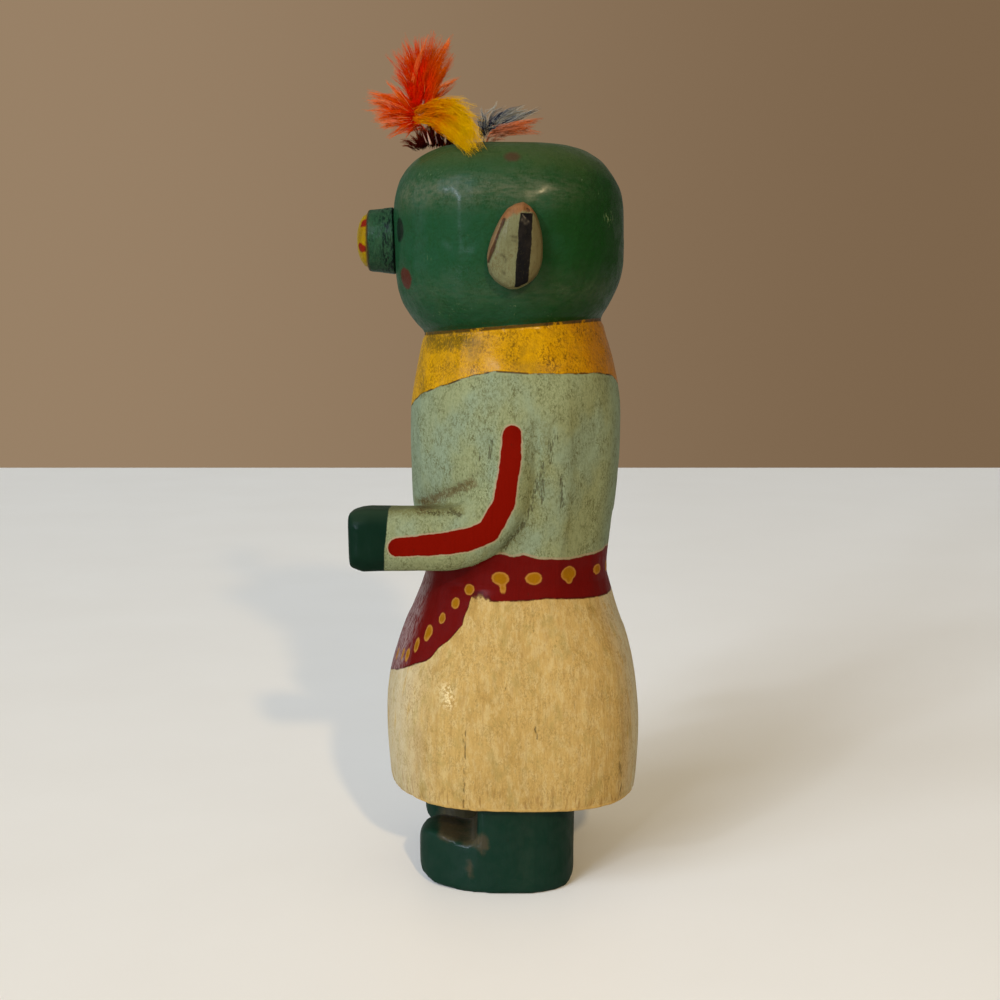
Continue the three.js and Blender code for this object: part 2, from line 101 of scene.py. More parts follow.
def make_lamp():
    """A warm bulb behind the camera."""
    data = bpy.data.lights.new("lamp", "POINT")
    data.shadow_soft_size = LAMP["radius"]
    data.energy = LAMP["power"]
    data.color = LAMP["colour"]
    light = bpy.data.objects.new("lamp", data)
    light.location = LAMP["place"]
    bpy.context.collection.objects.link(light)


def make_room():
    """A pale table in a plain room."""
    top = bmesh.new()
    bmesh.ops.create_grid(top, x_segments=1, y_segments=1, size=TABLE_HALF_WIDTH)
    table = linked("table", top)
    table.data.materials.append(table_material())
    world = bpy.data.worlds.new("room")
    world.use_nodes = True
    recipe = Recipe(world.node_tree)
    seen = recipe.add("ShaderNodeLightPath").outputs["Is Camera Ray"]
    facing = recipe.add("ShaderNodeTexCoord").outputs["Generated"]
    across = recipe.add("ShaderNodeSeparateXYZ", {"Vector": facing}).outputs["Y"]
    left, right = ((*colour, 1) for colour in WALL_LIGHT_AND_SHADE)
    # The wall lighter towards the window at the left: painted light.
    wall = recipe.blend(recipe.rise(across, -0.36, 0.36), left, right)
    colour = recipe.blend(seen, (*ROOM_COLOUR, 1), wall)
    recipe.feed(world.node_tree.nodes["Background"].inputs["Color"], colour)
    bpy.context.scene.world = world


# ---------- Meshes ----------

WELD = 0.005 * MM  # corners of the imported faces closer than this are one
EASE = 0.5  # how far a vertex goes towards the middle of its neighbours in one pass


def linked(name, shape):
    """A bmesh as a new object in the scene, smooth all over."""
    mesh = bpy.data.meshes.new(name)
    shape.to_mesh(mesh)
    shape.free()
    mesh.shade_smooth()
    piece = bpy.data.objects.new(name, mesh)
    bpy.context.collection.objects.link(piece)
    return piece


def even_skin(node, name, voxel):
    """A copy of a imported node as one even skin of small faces."""
    shape = bmesh.new()
    shape.from_mesh(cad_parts[node].data)
    bmesh.ops.remove_doubles(shape, verts=shape.verts, dist=WELD)
    rough = linked(name + "_rough", shape)
    voxels = rough.modifiers.new("voxels", "REMESH")
    voxels.mode = "VOXEL"
    voxels.voxel_size = voxel
    seen = rough.evaluated_get(bpy.context.evaluated_depsgraph_get())
    shape = bmesh.new()
    shape.from_mesh(seen.to_mesh())
    seen.to_mesh_clear()
    bpy.data.objects.remove(rough)
    return linked(name, shape)


def places(mesh):
    """Every vertex's place, in millimetres."""
    flat = np.empty(len(mesh.vertices) * 3, np.float32)
    mesh.vertices.foreach_get("co", flat)
    return flat.reshape(-1, 3).astype(float) / MM


def put(mesh, points):
    """Moves the vertices to places in millimetres."""
    mesh.vertices.foreach_set("co", (points * MM).astype(np.float32).ravel())
    mesh.update()


def outward(mesh):
    """Every vertex's normal."""
    flat = np.empty(len(mesh.vertices) * 3, np.float32)
    mesh.vertex_normals.foreach_get("vector", flat)
    return flat.reshape(-1, 3).astype(float)


def store(mesh, name, values):
    """Keeps one number on each vertex for the paint to read."""
    attribute = mesh.attributes.new(name, "FLOAT", "POINT")
    attribute.data.foreach_set("value", np.asarray(values, np.float32))


def relaxed(mesh, points, passes):
    """Places after each vertex has moved towards the middle of its neighbours, a few times."""
    edges = np.empty(len(mesh.edges) * 2, np.int32)
    mesh.edges.foreach_get("vertices", edges)
    a, b = edges.reshape(-1, 2).T
    count = np.bincount(a, minlength=len(points)) + np.bincount(b, minlength=len(points))
    for _ in range(passes):
        total = np.empty_like(points)
        for axis in range(3):
            total[:, axis] = np.bincount(a, points[b, axis], len(points))
            total[:, axis] += np.bincount(b, points[a, axis], len(points))
        points = points + EASE * (total / count[:, None] - points)
    return points


def smoothstep(value, low, high):
    """0 below low, 1 above high, and a smooth rise between them."""
    share = np.clip((np.asarray(value, float) - low) / (high - low), 0, 1)
    return share * share * (3 - 2 * share)


def waver(points, size, seed):
    """Gentle noise from -1 to 1 at each point, with swells about this size, which may differ by axis."""
    shift = Vector((seed * 7.3, seed * 3.1, seed * 5.7))
    scaled = points / np.asarray(size, float)
    return np.array([noise.noise(Vector(p) + shift) for p in scaled])


def route_distance(across, up, route):
    """Each point's distance from a line of short stretches, and its share of the way along."""
    best = np.full(len(across), 1e9)
    share = np.zeros(len(across))
    stretches = len(route) - 1
    for i in range(stretches):
        (y0, z0), (y1, z1) = route[i][:2], route[i + 1][:2]
        dy, dz = y1 - y0, z1 - z0
        t = np.clip(((across - y0) * dy + (up - z0) * dz) / (dy * dy + dz * dz), 0, 1)
        gap = np.hypot(across - y0 - t * dy, up - z0 - t * dz)
        nearer = gap < best
        best = np.where(nearer, gap, best)
        share = np.where(nearer, (i + t) / stretches, share)
    return best, share


# ---------- The carving ----------

FIGURE_VOXEL = 0.73 * MM
BODY_MIDDLE_Y = 3.7
SOLE_FLAT = (0.5, 3)  # the soles stay flat up to here
HEM = 22
HEM_CRISP = 0.65  # how much of its corner the hem keeps when the skin is smoothed
HEM_CRISP_REACH = 2.2
HEM_DROP = 0.5  # how far the hem's corner is drawn down
HEM_DROP_REACH = 1.6
HEM_DROP_OUTSIDE = (20, 25)  # it comes in over these distances from the body's middle
HEM_DROP_BEHIND = (-26, -14)  # and over these y, so the front of the hem keeps its height
HEAD_BASE = 133.6  # where the head's lower edge is at y = 0
HEAD_BASE_SLOPE = 0.08
ARM_INSIDE = 20  # an arm lies further out than this
ARM_MIDDLE = [(2.7, 110), (1.3, 99), (-2.4, 90), (-9.5, 86.1), (-20, 85.6), (-31.6, 85.4)]
ARM_HALF_HEIGHT = 7.5
RIGHT_ARM_DROP = 6.6
RIGHT_ARM_DROP_Z = (110, 88)  # the right arm starts to leave the left one's line here, and ends here
RIGHT_ARM_SHORTER = 1.4
UNEVEN = [(0.22, (17, 17, 26)), (0.07, (4, 4, 9))]  # height and size of the swells
NIBBLES = {"depth": 0.14, "size": (2.2, 2.2, 3), "near_hem": 1.3}

# Knife cuts: where they run, how deep and how wide.
WAIST_CUT = {"z": 74.2, "depth": 0.16, "width": 1.2}
NECK_CUT = {"depth": 0.35, "width": 0.8}
CUTS = [
    {"route": [(-18, 93.4), (-11.4, 96.2), (-6.4, 98.3), (-4.5, 99.5)], "depth": 0.5, "width": 1.3},
    {"route": [(8.4, 106), (8.2, 99), (6.4, 92), (2.7, 86), (0.2, 82.5)], "depth": 0.5, "width": 0.8},
    {"route": [(11.8, 112), (11.6, 103.6), (10.9, 96)], "depth": 0.25, "width": 0.5},
    {"route": [(9.5, 103), (9.5, 94)], "depth": 0.25, "width": 0.45},
    {"route": [(14.2, 99.8), (14.4, 92.8)], "depth": 0.25, "width": 0.45},
    {"route": [(-2, 108.6), (-2.3, 104.6)], "depth": 0.35, "width": 0.35},
    {"route": [(-8.1, 34), (-7.8, 28), (-8.1, 21)], "depth": 0.14, "width": 0.3},
]
FLATS = [  # knife flats: lowest and highest z, their usual width, how much taller than wide, and how flat
    {"z": (HEM, 72), "width": 10, "tall": 4, "flatness": 0.25},
    {"z": (76, 132), "width": 8, "tall": 3, "flatness": 0.3},
    {"z": (136, 177), "width": 11, "tall": 1.0, "flatness": 0.3},
]
FLAT_SEEDS = 1500  # tries at placing a flat
FLAT_SPACING = 0.7  # of a flat's usual width, at least, between two seeds
FLAT_FADE = 3  # a band of flats fades in over this height at its top and its foot
FLAT_FACING = 0.6  # skin turned further from its seed than this is left alone
FLAT_DEEPEST = 0.6


def body_angle(points):
    """Angle round the body, the same on both sides: -90 in front, 90 behind."""
    return np.degrees(np.arctan2(points[:, 1] - BODY_MIDDLE_Y, np.abs(points[:, 0])))


def as_left_arm(points):
    """The (y, z) that each point would have if the right arm were like the left one."""
    x, y, z = points.T
    right = x < 0
    top, bottom = RIGHT_ARM_DROP_Z
    z = z + np.where(right, RIGHT_ARM_DROP * smoothstep(top - z, 0, top - bottom), 0)
    y = y - np.where(right, RIGHT_ARM_SHORTER * smoothstep(-y, 10, 26), 0)
    return y, z


def ridge(distance, width):
    """1 on a line and fading to both sides of it."""
    return np.exp(-((distance / width) ** 2))


def cut(points, normals, route, depth, width):
    """Presses a knife cut into both sides of the carving."""
    gap, _ = route_distance(points[:, 1], points[:, 2], route)
    beside = smoothstep(np.abs(normals[:, 0]), 0.25, 0.5)
    return points - normals * (depth * ridge(gap, width) * beside)[:, None]


def whittle(points, normals, z, width, tall, flatness, seed):
    """Draws the surface towards flat knife strokes, each through a seed on it."""
    rng = random.Random(seed)
    inside = np.flatnonzero((points[:, 2] > z[0]) & (points[:, 2] < z[1]))
    squeeze = np.array([1, 1, 1 / tall])
    seeds = []
    for _ in range(FLAT_SEEDS):
        index = inside[rng.randrange(len(inside))]
        spot = points[index] * squeeze
        if all(np.linalg.norm(spot - points[other] * squeeze) > width * FLAT_SPACING for other in seeds):
            seeds.append(index)
    tree = kdtree.KDTree(len(seeds))
    for number, index in enumerate(seeds):
        tree.insert(points[index] * squeeze, number)
    tree.balance()
    moved = points.copy()
    blend = smoothstep(points[:, 2], z[0], z[0] + FLAT_FADE)
    blend = blend * smoothstep(-points[:, 2], -z[1], FLAT_FADE - z[1])
    for index in inside:
        _, number, _ = tree.find(points[index] * squeeze)
        seed_at = seeds[number]
        facing = normals[seed_at]
        if facing @ normals[index] < FLAT_FACING:
            continue
        off = np.clip((points[index] - points[seed_at]) @ facing, -FLAT_DEEPEST, FLAT_DEEPEST)
        moved[index] = points[index] - facing * off * flatness * blend[index]
    return moved


def carve(mesh):
    """Turns the even skin into a hand-carved one."""
    rough = places(mesh)
    points = relaxed(mesh, rough, 4)
    at_hem = HEM_CRISP * ridge(rough[:, 2] - HEM, HEM_CRISP_REACH)
    points = points + (rough - points) * at_hem[:, None]
    reach = np.hypot(points[:, 0], points[:, 1] - BODY_MIDDLE_Y)
    outer = smoothstep(reach, *HEM_DROP_OUTSIDE) * smoothstep(points[:, 1], *HEM_DROP_BEHIND)
    points[:, 2] -= HEM_DROP * ridge(rough[:, 2] - HEM, HEM_DROP_REACH) * outer
    put(mesh, points)
    normals = outward(mesh)
    for number, flats in enumerate(FLATS):
        points = whittle(points, normals, **flats, seed=SEED + number)
    eased = relaxed(mesh, points, 1)
    points = points + (eased - points) * (1 - at_hem)[:, None]
    z = points[:, 2]
    height = sum(depth * waver(points, size, seed) for seed, (depth, size) in enumerate(UNEVEN, 1))
    height += NIBBLES["depth"] * waver(points, NIBBLES["size"], 3) * ridge(z - HEM, NIBBLES["near_hem"])
    height *= smoothstep(z, *SOLE_FLAT)
    height -= WAIST_CUT["depth"] * ridge(z - WAIST_CUT["z"] - 0.5 * waver(points, 9, 4), WAIST_CUT["width"])
    height -= NECK_CUT["depth"] * ridge(z - HEAD_BASE - HEAD_BASE_SLOPE * points[:, 1], NECK_CUT["width"])
    points = points + normals * height[:, None]
    for stroke in CUTS:
        points = cut(points, normals, **stroke)
    put(mesh, points)


# ---------- Paint lines ----------

COLLAR_EDGE = [
    (-90, 114.2), (-75, 115.2), (-55, 118.4), (-36, 120.7), (-20, 123.2), (-10, 124.1), (13, 123.4),
    (42, 123.6), (62, 122.6), (78, 120.2), (90, 116.9)]
SASH_TOP = [
    (-90, 81.5), (-30, 82.6), (-6, 82), (-2, 81.3), (4, 81.9), (12, 80.8), (30, 80.2), (53, 80.8), (65, 81.3),
    (90, 80.5)]
SASH_FOOT = [
    (-90, 49), (-84, 49.3), (-65, 51.6), (-54, 53.7), (-43, 56.1), (-40, 57.4), (-37, 59.6), (-32, 61.6),
    (-28, 64.3), (-24.5, 66.5), (-23.3, 69.5), (-18, 71), (-8, 70.8), (7, 71.1), (15, 71.5), (32, 70.9),
    (51, 70.3), (90, 70)]
DOTS = [  # angle, z, half-width and half-height; a dot that ran is two ovals
    (-8, 76.2, 2.05, 1.6), (-6.8, 74.2, 0.8, 1.5), (9, 76.2, 2.05, 1.45), (29, 76.9, 2.3, 1.6),
    (29, 75.6, 1.0, 1.2), (52, 76.7, 1.9, 1.3), (72, 76.2, 2, 1.4), (88, 76.4, 2, 1.4),
    (-25, 73.3, 1.35, 1.25), (-32, 69.9, 1.15, 1.25), (-39, 66, 1.05, 1.25), (-46, 62.2, 1.4, 1.9),
    (-52, 58.9, 0.9, 1.7), (-58, 56.1, 1.0, 1.7), (-64, 55.5, 0.8, 1.6), (-74, 54.5, 0.9, 1.6),
    (-88, 54, 1, 1.4)]
BRISTLES = [  # where the brush left tufts of cream on the sash: angle, half-width and height
    (-24, 1.2, 2.4), (-21.6, 0.7, 2.0), (-19.5, 0.6, 1.5), (-17.4, 0.5, 1.2), (-14.5, 0.5, 0.8)]
ARM_STRIPE = [
    (2.7, 109.8), (2.5, 105), (2.0, 101.5), (0.8, 94), (-2.6, 88), (-8, 85.9), (-16, 84.9), (-23.4, 84.4)]
STRIPE_HALF_WIDTHS = [2.2, 2.3, 2.35, 2.45, 2.55, 2.6, 2.4, 2.1]  # evenly along the stripe, from its top
STRIPE_OFF_SIDE = 6  # taken off the stripe's distance where the arm turns from its outer side
HAND_FROM = {"y": -25.4, "z": 92}
HAND_SLANT = 0.086
HAND_HEIGHTS = (66, 100)
OUTSIDE = -9  # stored where a paint is nowhere near
SMEARS = [  # where brown dirt was rubbed on: its route, how far it reaches and how strong it is
    ([(-18, 93), (-13.9, 94.8), (-10.3, 96.6), (-6.4, 98.6)], 1.9, 0.85),
    ([(-6, 99), (-5, 104)], 1.2, 0.3),
    ([(-28.5, 93.4), (-22, 93.2)], 1.3, 0.4),
]
OLIVE_FILM_AT = [  # where the green is darker and more olive, given in the same way
    ([(-26, 92.6), (-9, 92.6)], 1.7, 0.9),
    ([(10, 112), (9.5, 98), (8, 92), (4, 86)], 3.2, 0.6),
    ([(-12, 101), (-3, 107)], 3, 0.4),
    ([(1, 119), (7, 108)], 4, 0.4),
    ([(22, 104), (23, 88)], 3.5, 0.35),
    ([(14, 92), (18, 86)], 3, 0.4),
]
DARK_MARKS = [  # thin dark strokes, in the same way
    ([(-16, 91.9), (-12.4, 91.9)], 0.7, 0.8),
    ([(-11.2, 92.4), (-9.3, 91.7)], 0.8, 1.0),
    ([(-2, 108.6), (-2.3, 104.6)], 0.6, 1.0),
    ([(-4.2, 105.6), (-5.2, 102)], 0.7, 0.6),
    ([(-7, 99.4), (-4.4, 102.4)], 0.9, 0.5),
    ([(5.6, 89.6), (2.7, 86), (0.6, 83)], 0.6, 1.0),
    ([(8.6, 101), (8, 95), (5.2, 89)], 0.9, 0.65),
    ([(9.7, 103), (9.5, 98.6), (9.5, 93.6)], 0.7, 0.8),
    ([(11.6, 108), (11.7, 103.4)], 0.8, 0.75),
    ([(14.2, 100), (14.2, 93)], 0.7, 0.8),
    ([(12.5, 112.6), (12.7, 109)], 0.6, 0.6),
    ([(-8.3, 45), (-8.2, 31), (-8.4, 21)], 0.35, 0.7),
    ([(-5.6, 51), (-5.8, 46)], 0.5, 0.35),
    ([(8.1, 42), (8.6, 40)], 0.7, 0.9),
    ([(17.4, 49), (17.3, 39.8)], 0.4, 0.5),
    ([(23.4, 52), (23.5, 48)], 0.6, 0.45),
    ([(28.2, 32), (28.9, 27), (28.4, 23)], 0.5, 0.7),
    ([(1, 55), (1.2, 50)], 0.6, 0.35),
]
EYE = {"x": 15.8, "z": 156.2, "wide": 2.5, "tall": 2.8}
CHEEK = {"x": 17.5, "z": 145.2, "wide": 2.6, "tall": 2.4}
CROWN_SPOT = {"place": (24.5, 2.7, 171.6), "radius": 1.7}
SCUFF_SPOT = {"place": (19.6, 23.4, 158.5), "radius": 3.2}
THICK_VARNISH = [  # a blob on the kilt and the collar's lower edge, in the same way; the kilt's glints are painted pale
    ([(-12.4, 50.4), (-12, 47.6)], 1.6, 1.0),
    ([(-2, 126), (4, 125.2), (13, 124.8)], 1.3, 0.9),
]
NECK_STAINS = [
    ([(-16, 130.6), (-8, 131)], 3.4, 0.9),
    ([(-4, 134.6), (6, 135.4)], 1.5, 0.4),
    ([(-19, 128), (-18, 118)], 2, 0.6),
]
# The head's painted sheen: a pale band of painted highlight along the top bevel, and a weaker painted
# reflection along the jaw. Their heights, how far they reach, and where they come in to the side and in
# front.
HEAD_SHEEN_BANDS = {"z": 164.4, "jaw": 142, "jaw_strength": 0.3, "reach": 3.6, "side": (13, 19), "front": (-26, -4)}
BARE_WOOD = [  # where the foot's paint is gone: route and half-width
    ([(-13.5, 13.4), (-5, 13)], 1.3),
    ([(-5.6, 12), (-3.8, 9.8)], 0.3),
    ([(-7.3, 8), (-7, 4)], 0.3),
    ([(-3.8, 14), (-3.6, 11.6)], 0.9),
]
INNER_LEG = 7.6  # the legs were left bare between each other
HEAD_PAINT_ABOVE = 0.5  # the head's paint stops this far above its lower edge
FEET_PAINT = {"below_hem": 0.6, "side": 27, "back": 19.5}
SASH_SHEEN_AREA = {"turn": (52, 66), "from": (48, 51), "below": 80}  # the front of the sash, with a pale painted sheen in strokes
OUTER_SIDE = (0.35, 0.6)  # how far to the side the skin faces where the stripe comes in
ABOVE_SASH = 70
FACE_TURN = 0.3  # how far forward the skin faces where the eye is painted
HEM_RUB = {"above": 0.15, "reach": 0.4}
SHEEN_FRONT = (30, 62)  # angles over which green and cream turn cooler at the front: a painted sheen
SHEEN_BACK = (42, 62)  # and towards the back
SHEEN_FRONT_STRENGTH = 0.6
HAND_LIT_FACING = (0.3, 0.85)  # how far up the skin faces where a hand is paler: painted light from above


def line_height(angle, line):
    """Height of a line round the body, at an angle."""
    angles, heights = zip(*line)
    return np.interp(angle, angles, heights)


def oval(across, up, wide, tall):
    """About how many millimetres inside an oval a point is."""
    return (1 - np.hypot(across / wide, up / tall)) * min(wide, tall)


def gathered(y, z, routes):
    """How strongly the nearest of some rubbed routes shows."""
    shown = [strength * ridge(route_distance(y, z, route)[0], reach) for route, reach, strength in routes]
    return np.max(shown, axis=0)


def mark_paint(mesh):
    """Stores how far inside each paint a vertex is, in millimetres, and where dirt gathers."""
    points = places(mesh)
    normals = outward(mesh)
    x, y, z = points.T
    angle = body_angle(points)
    across = np.abs(x)
    reach = np.hypot(x, y - BODY_MIDDLE_Y)
    arm_y, arm_z = as_left_arm(points)
    from_arm, _ = route_distance(arm_y, arm_z, ARM_MIDDLE)
    is_arm = (across > ARM_INSIDE) & (from_arm < ARM_HALF_HEIGHT)
    store(mesh, "head", z - HEAD_BASE - HEAD_BASE_SLOPE * y - HEAD_PAINT_ABOVE)
    store(mesh, "collar", z - line_height(angle, COLLAR_EDGE))
    sash_foot = z - line_height(angle, SASH_FOOT)
    sash_top = line_height(angle, SASH_TOP) - z
    tufts = [oval(np.radians(angle - a) * reach, sash_foot, wide, up) for a, wide, up in BRISTLES]
    store(mesh, "kilt", np.where(is_arm, OUTSIDE, np.maximum(-sash_foot, np.max(tufts, axis=0))))
    store(mesh, "sash", np.where(is_arm, OUTSIDE, sash_top))
    # The sash's front, where it turns towards the window: a painted sheen.
    sash_sheen = smoothstep(-angle, *SASH_SHEEN_AREA["turn"]) * smoothstep(z, *SASH_SHEEN_AREA["from"])
    store(mesh, "sash_sheen", sash_sheen * (z < SASH_SHEEN_AREA["below"]))
    dots = [oval(np.radians(angle - a) * reach, z - h, wide, tall) for a, h, wide, tall in DOTS]
    store(mesh, "dots", np.where(is_arm, OUTSIDE, np.max(dots, axis=0)))

    outer_side = smoothstep(np.abs(normals[:, 0]), *OUTER_SIDE)
    gap, share = route_distance(arm_y, arm_z, ARM_STRIPE)
    half_width = np.interp(share, np.linspace(0, 1, len(STRIPE_HALF_WIDTHS)), STRIPE_HALF_WIDTHS)
    store(mesh, "stripe", half_width - gap - STRIPE_OFF_SIDE * (1 - outer_side))
    hand = HAND_FROM["y"] + HAND_SLANT * (arm_z - HAND_FROM["z"]) - arm_y
    low, high = HAND_HEIGHTS
    store(mesh, "hand", np.where((z > low) & (z < high), hand, OUTSIDE))

    beside = np.minimum(FEET_PAINT["side"] - across, FEET_PAINT["back"] - y)
    store(mesh, "feet", np.minimum(HEM - FEET_PAINT["below_hem"] - z, beside))
    bare = [width - route_distance(y, z, route)[0] for route, width in BARE_WOOD]
    store(mesh, "bare", np.where(z < HEM, np.maximum(np.max(bare, axis=0), INNER_LEG - across), OUTSIDE))

    face = -normals[:, 1] - FACE_TURN
    eye = oval(across - EYE["x"], z - EYE["z"], EYE["wide"], EYE["tall"])
    cheek = oval(across - CHEEK["x"], z - CHEEK["z"], CHEEK["wide"], CHEEK["tall"])
    store(mesh, "eye", np.where(face > 0, eye, OUTSIDE))
    store(mesh, "cheek", np.where(face > -FACE_TURN, cheek, OUTSIDE))
    for name, spot in (("spot", CROWN_SPOT), ("scuff", SCUFF_SPOT)):
        store(mesh, name, spot["radius"] - np.linalg.norm(points - spot["place"], axis=1))
    store(mesh, "smear", np.where(z > ABOVE_SASH, gathered(arm_y, arm_z, SMEARS) * (across > 9), 0))
    store(mesh, "olive", np.where(z > ABOVE_SASH, gathered(arm_y, arm_z, OLIVE_FILM_AT) * (across > 9), 0))
    store(mesh, "marks", gathered(arm_y, arm_z, DARK_MARKS) * (across > 12))
    # Where the skin turns away to the front or the back, a cool painted sheen.
    in_front = SHEEN_FRONT_STRENGTH * smoothstep(-angle, *SHEEN_FRONT)
    store(mesh, "turned", np.maximum(in_front, smoothstep(angle, *SHEEN_BACK)))
    store(mesh, "varnish", gathered(y, z, THICK_VARNISH) * (x > 12))
    store(mesh, "hem", ridge(z - HEM - HEM_RUB["above"], HEM_RUB["reach"]))
    # A pale band along the top bevel and along the jaw: a painted highlight and a painted reflection.
    edges = ridge(z - HEAD_SHEEN_BANDS["z"], HEAD_SHEEN_BANDS["reach"]) * smoothstep(-y, *HEAD_SHEEN_BANDS["front"])
    edges += HEAD_SHEEN_BANDS["jaw_strength"] * ridge(z - HEAD_SHEEN_BANDS["jaw"], HEAD_SHEEN_BANDS["reach"])
    store(mesh, "painted_sheen", edges * smoothstep(across, *HEAD_SHEEN_BANDS["side"]))
    # How far up each vertex faces, for the hands' painted light.
    store(mesh, "upper", smoothstep(normals[:, 2], *HAND_LIT_FACING))
    store(mesh, "stain", gathered(y, z, NECK_STAINS) * (across > 8))


# ---------- Nodes ----------


def linear(red, green, blue):
    """A colour given as 0 to 255 for the screen, as the light that it reflects."""
    shares = (value / 255 for value in (red, green, blue))
    return (*(s / 12.92 if s <= 0.04045 else ((s + 0.055) / 1.055) ** 2.4 for s in shares), 1)


class Recipe:
    """A node tree and short calls for the nodes that it uses."""

    def __init__(self, tree):
        """Starts on a tree, which the calls add to."""
        self.tree = tree

    def add(self, kind, inputs=None, **settings):
        """A node with its settings, and with its inputs set or linked."""
        node = self.tree.nodes.new(kind)
        for name, value in settings.items():
            setattr(node, name, value)
        for name, value in (inputs or {}).items():
            self.feed(node.inputs[name], value)
        return node

    def feed(self, socket, value):
        """Sets a socket to a number or colour, or links it to another socket."""
        if isinstance(value, bpy.types.NodeSocket):
            self.tree.links.new(value, socket)
        else:
            socket.default_value = value

    def place(self, stretch=(1, 1, 1)):
        """The place on the piece in millimetres, stretched along each axis."""
        object_place = self.add("ShaderNodeTexCoord").outputs["Object"]
        scale = tuple(1 / (MM * s) for s in stretch)
        return self.add("ShaderNodeMapping", {"Vector": object_place, "Scale": scale}).outputs[0]

    def height_of(self, axis):
        """How far along this axis a place on the piece is, in millimetres."""
        return self.add("ShaderNodeSeparateXYZ", {"Vector": self.place()}).outputs[axis]

    def attribute(self, name):
        """A number stored on the vertices."""
        return self.add("ShaderNodeAttribute", attribute_name=name).outputs["Fac"]

    def speckle(self, size, stretch=(1, 1, 1), detail=3, roughness=0.55, distortion=0):
        """Noise from 0 to 1 with swells about this many millimetres across."""
        inputs = {"Vector": self.place(stretch), "Scale": 1 / size, "Detail": detail,
                  "Roughness": roughness, "Distortion": distortion}
        return self.add("ShaderNodeTexNoise", inputs).outputs["Fac"]

    def math(self, operation, a, b=0.0, c=0.0):
        """One sum on one to three numbers."""
        node = self.add("ShaderNodeMath", operation=operation)
        for socket, value in zip(node.inputs, (a, b, c)):
            self.feed(socket, value)
        return node.outputs[0]

    def rise(self, value, low, high, start=0.0, end=1.0):
        """A smooth rise from start to end as the value goes from low to high."""
        inputs = {"Value": value, "From Min": low, "From Max": high, "To Min": start, "To Max": end}
        return self.add("ShaderNodeMapRange", inputs, interpolation_type="SMOOTHSTEP").outputs[0]

    def blend(self, mask, below, above):
        """The colour below where the mask is 0 and the one above where it is 1."""
        node = self.add("ShaderNodeMix", data_type="RGBA")
        colour_sockets = [s for s in node.inputs if s.type == "RGBA"]
        self.feed(node.inputs[0], mask)
        self.feed(colour_sockets[0], below)
        self.feed(colour_sockets[1], above)
        return next(s for s in node.outputs if s.type == "RGBA")

    def cover(self, mask, strength, below, above):
        """A blend in which the colour above shows at most this strongly."""
        return self.blend(self.math("MULTIPLY", mask, strength), below, above)

    def group(self, tree, **inputs):
        """A shared group with its own values. Underscores in names stand for spaces."""
        node = self.add("ShaderNodeGroup", node_tree=tree)
        for name, value in inputs.items():
            self.feed(node.inputs[name.replace("_", " ").capitalize()], value)
        return node.outputs


def new_group(name, inputs, outputs):
    """An empty group with its sockets, as its recipe and its two ends."""
    tree = bpy.data.node_groups.new(name, "ShaderNodeTree")
    for socket, (kind, value) in inputs.items():
        made = tree.interface.new_socket(socket, in_out="INPUT", socket_type="NodeSocket" + kind)
        made.default_value = value
    for socket, kind in outputs.items():
        tree.interface.new_socket(socket, in_out="OUTPUT", socket_type="NodeSocket" + kind)
    recipe = Recipe(tree)
    start = recipe.add("NodeGroupInput").outputs
    end = recipe.add("NodeGroupOutput").inputs
    return tree, recipe, start, end


def brushed_edge_group():
    """How much paint there is at a distance inside its edge, which wavers as a hand does."""
    inputs = {"Inside": ("Float", 0.0), "Waver": ("Float", 0.4), "Softness": ("Float", 0.12)}
    tree, recipe, start, end = new_group("brushed_edge", inputs, {"Mask": "Float"})
    wide = recipe.math("SUBTRACT", recipe.speckle(3.5, detail=1), 0.5)
    fine = recipe.math("SUBTRACT", recipe.speckle(0.8, detail=2), 0.5)
    shift = recipe.math("MULTIPLY_ADD", fine, 0.5, wide)
    edge = recipe.math("MULTIPLY_ADD", shift, recipe.math("MULTIPLY", start["Waver"], 2), start["Inside"])
    sides = recipe.math("DIVIDE", edge, start["Softness"])
    recipe.feed(end["Mask"], recipe.rise(sides, -1, 1))
    return tree


def paint_tone_group():
    """A paint's colour with brush streaks along the grain and thinner, dirtier patches."""
    inputs = {"Paint": ("Color", (1, 1, 1, 1)), "Thin": ("Color", (1, 1, 1, 1)), "Streaks": ("Float", 0.3),
              "Patches": ("Float", 0.3)}
    tree, recipe, start, end = new_group("paint_tone", inputs, {"Color": "Color"})
    streak = recipe.rise(recipe.speckle(0.7, (1, 1, 9), detail=4), 0.42, 0.78)
    patch = recipe.rise(recipe.speckle(7, (1, 1, 1.8), detail=4, roughness=0.62), 0.45, 0.75)
    streaked = recipe.math("MULTIPLY", streak, start["Streaks"])
    patched = recipe.math("MULTIPLY", patch, start["Patches"])
    amount = recipe.math("MAXIMUM", streaked, patched)
    recipe.feed(end["Color"], recipe.blend(amount, start["Paint"], start["Thin"]))
    return tree


def wood_grain_group():
    """Upright wood grain: masks of streaks and fine pores, and its height."""
    outputs = {"Streaks": "Float", "Pores": "Float", "Height": "Float"}
    tree, recipe, _, end = new_group("wood_grain", {}, outputs)
    long_streaks = recipe.speckle(0.9, (1, 1, 16), detail=4, roughness=0.6)
    fibres = recipe.speckle(0.28, (1, 1, 14), detail=2)
    pores = recipe.speckle(0.5, (1, 1, 3.5), detail=2, roughness=0.7)
    recipe.feed(end["Streaks"], recipe.rise(long_streaks, 0.45, 0.75))
    recipe.feed(end["Pores"], recipe.rise(pores, 0.7, 0.78))
    waves = recipe.math("MULTIPLY_ADD", fibres, 0.5, long_streaks)
    recipe.feed(end["Height"], recipe.math("MULTIPLY_ADD", recipe.rise(pores, 0.66, 0.76), -0.6, waves))
    return tree


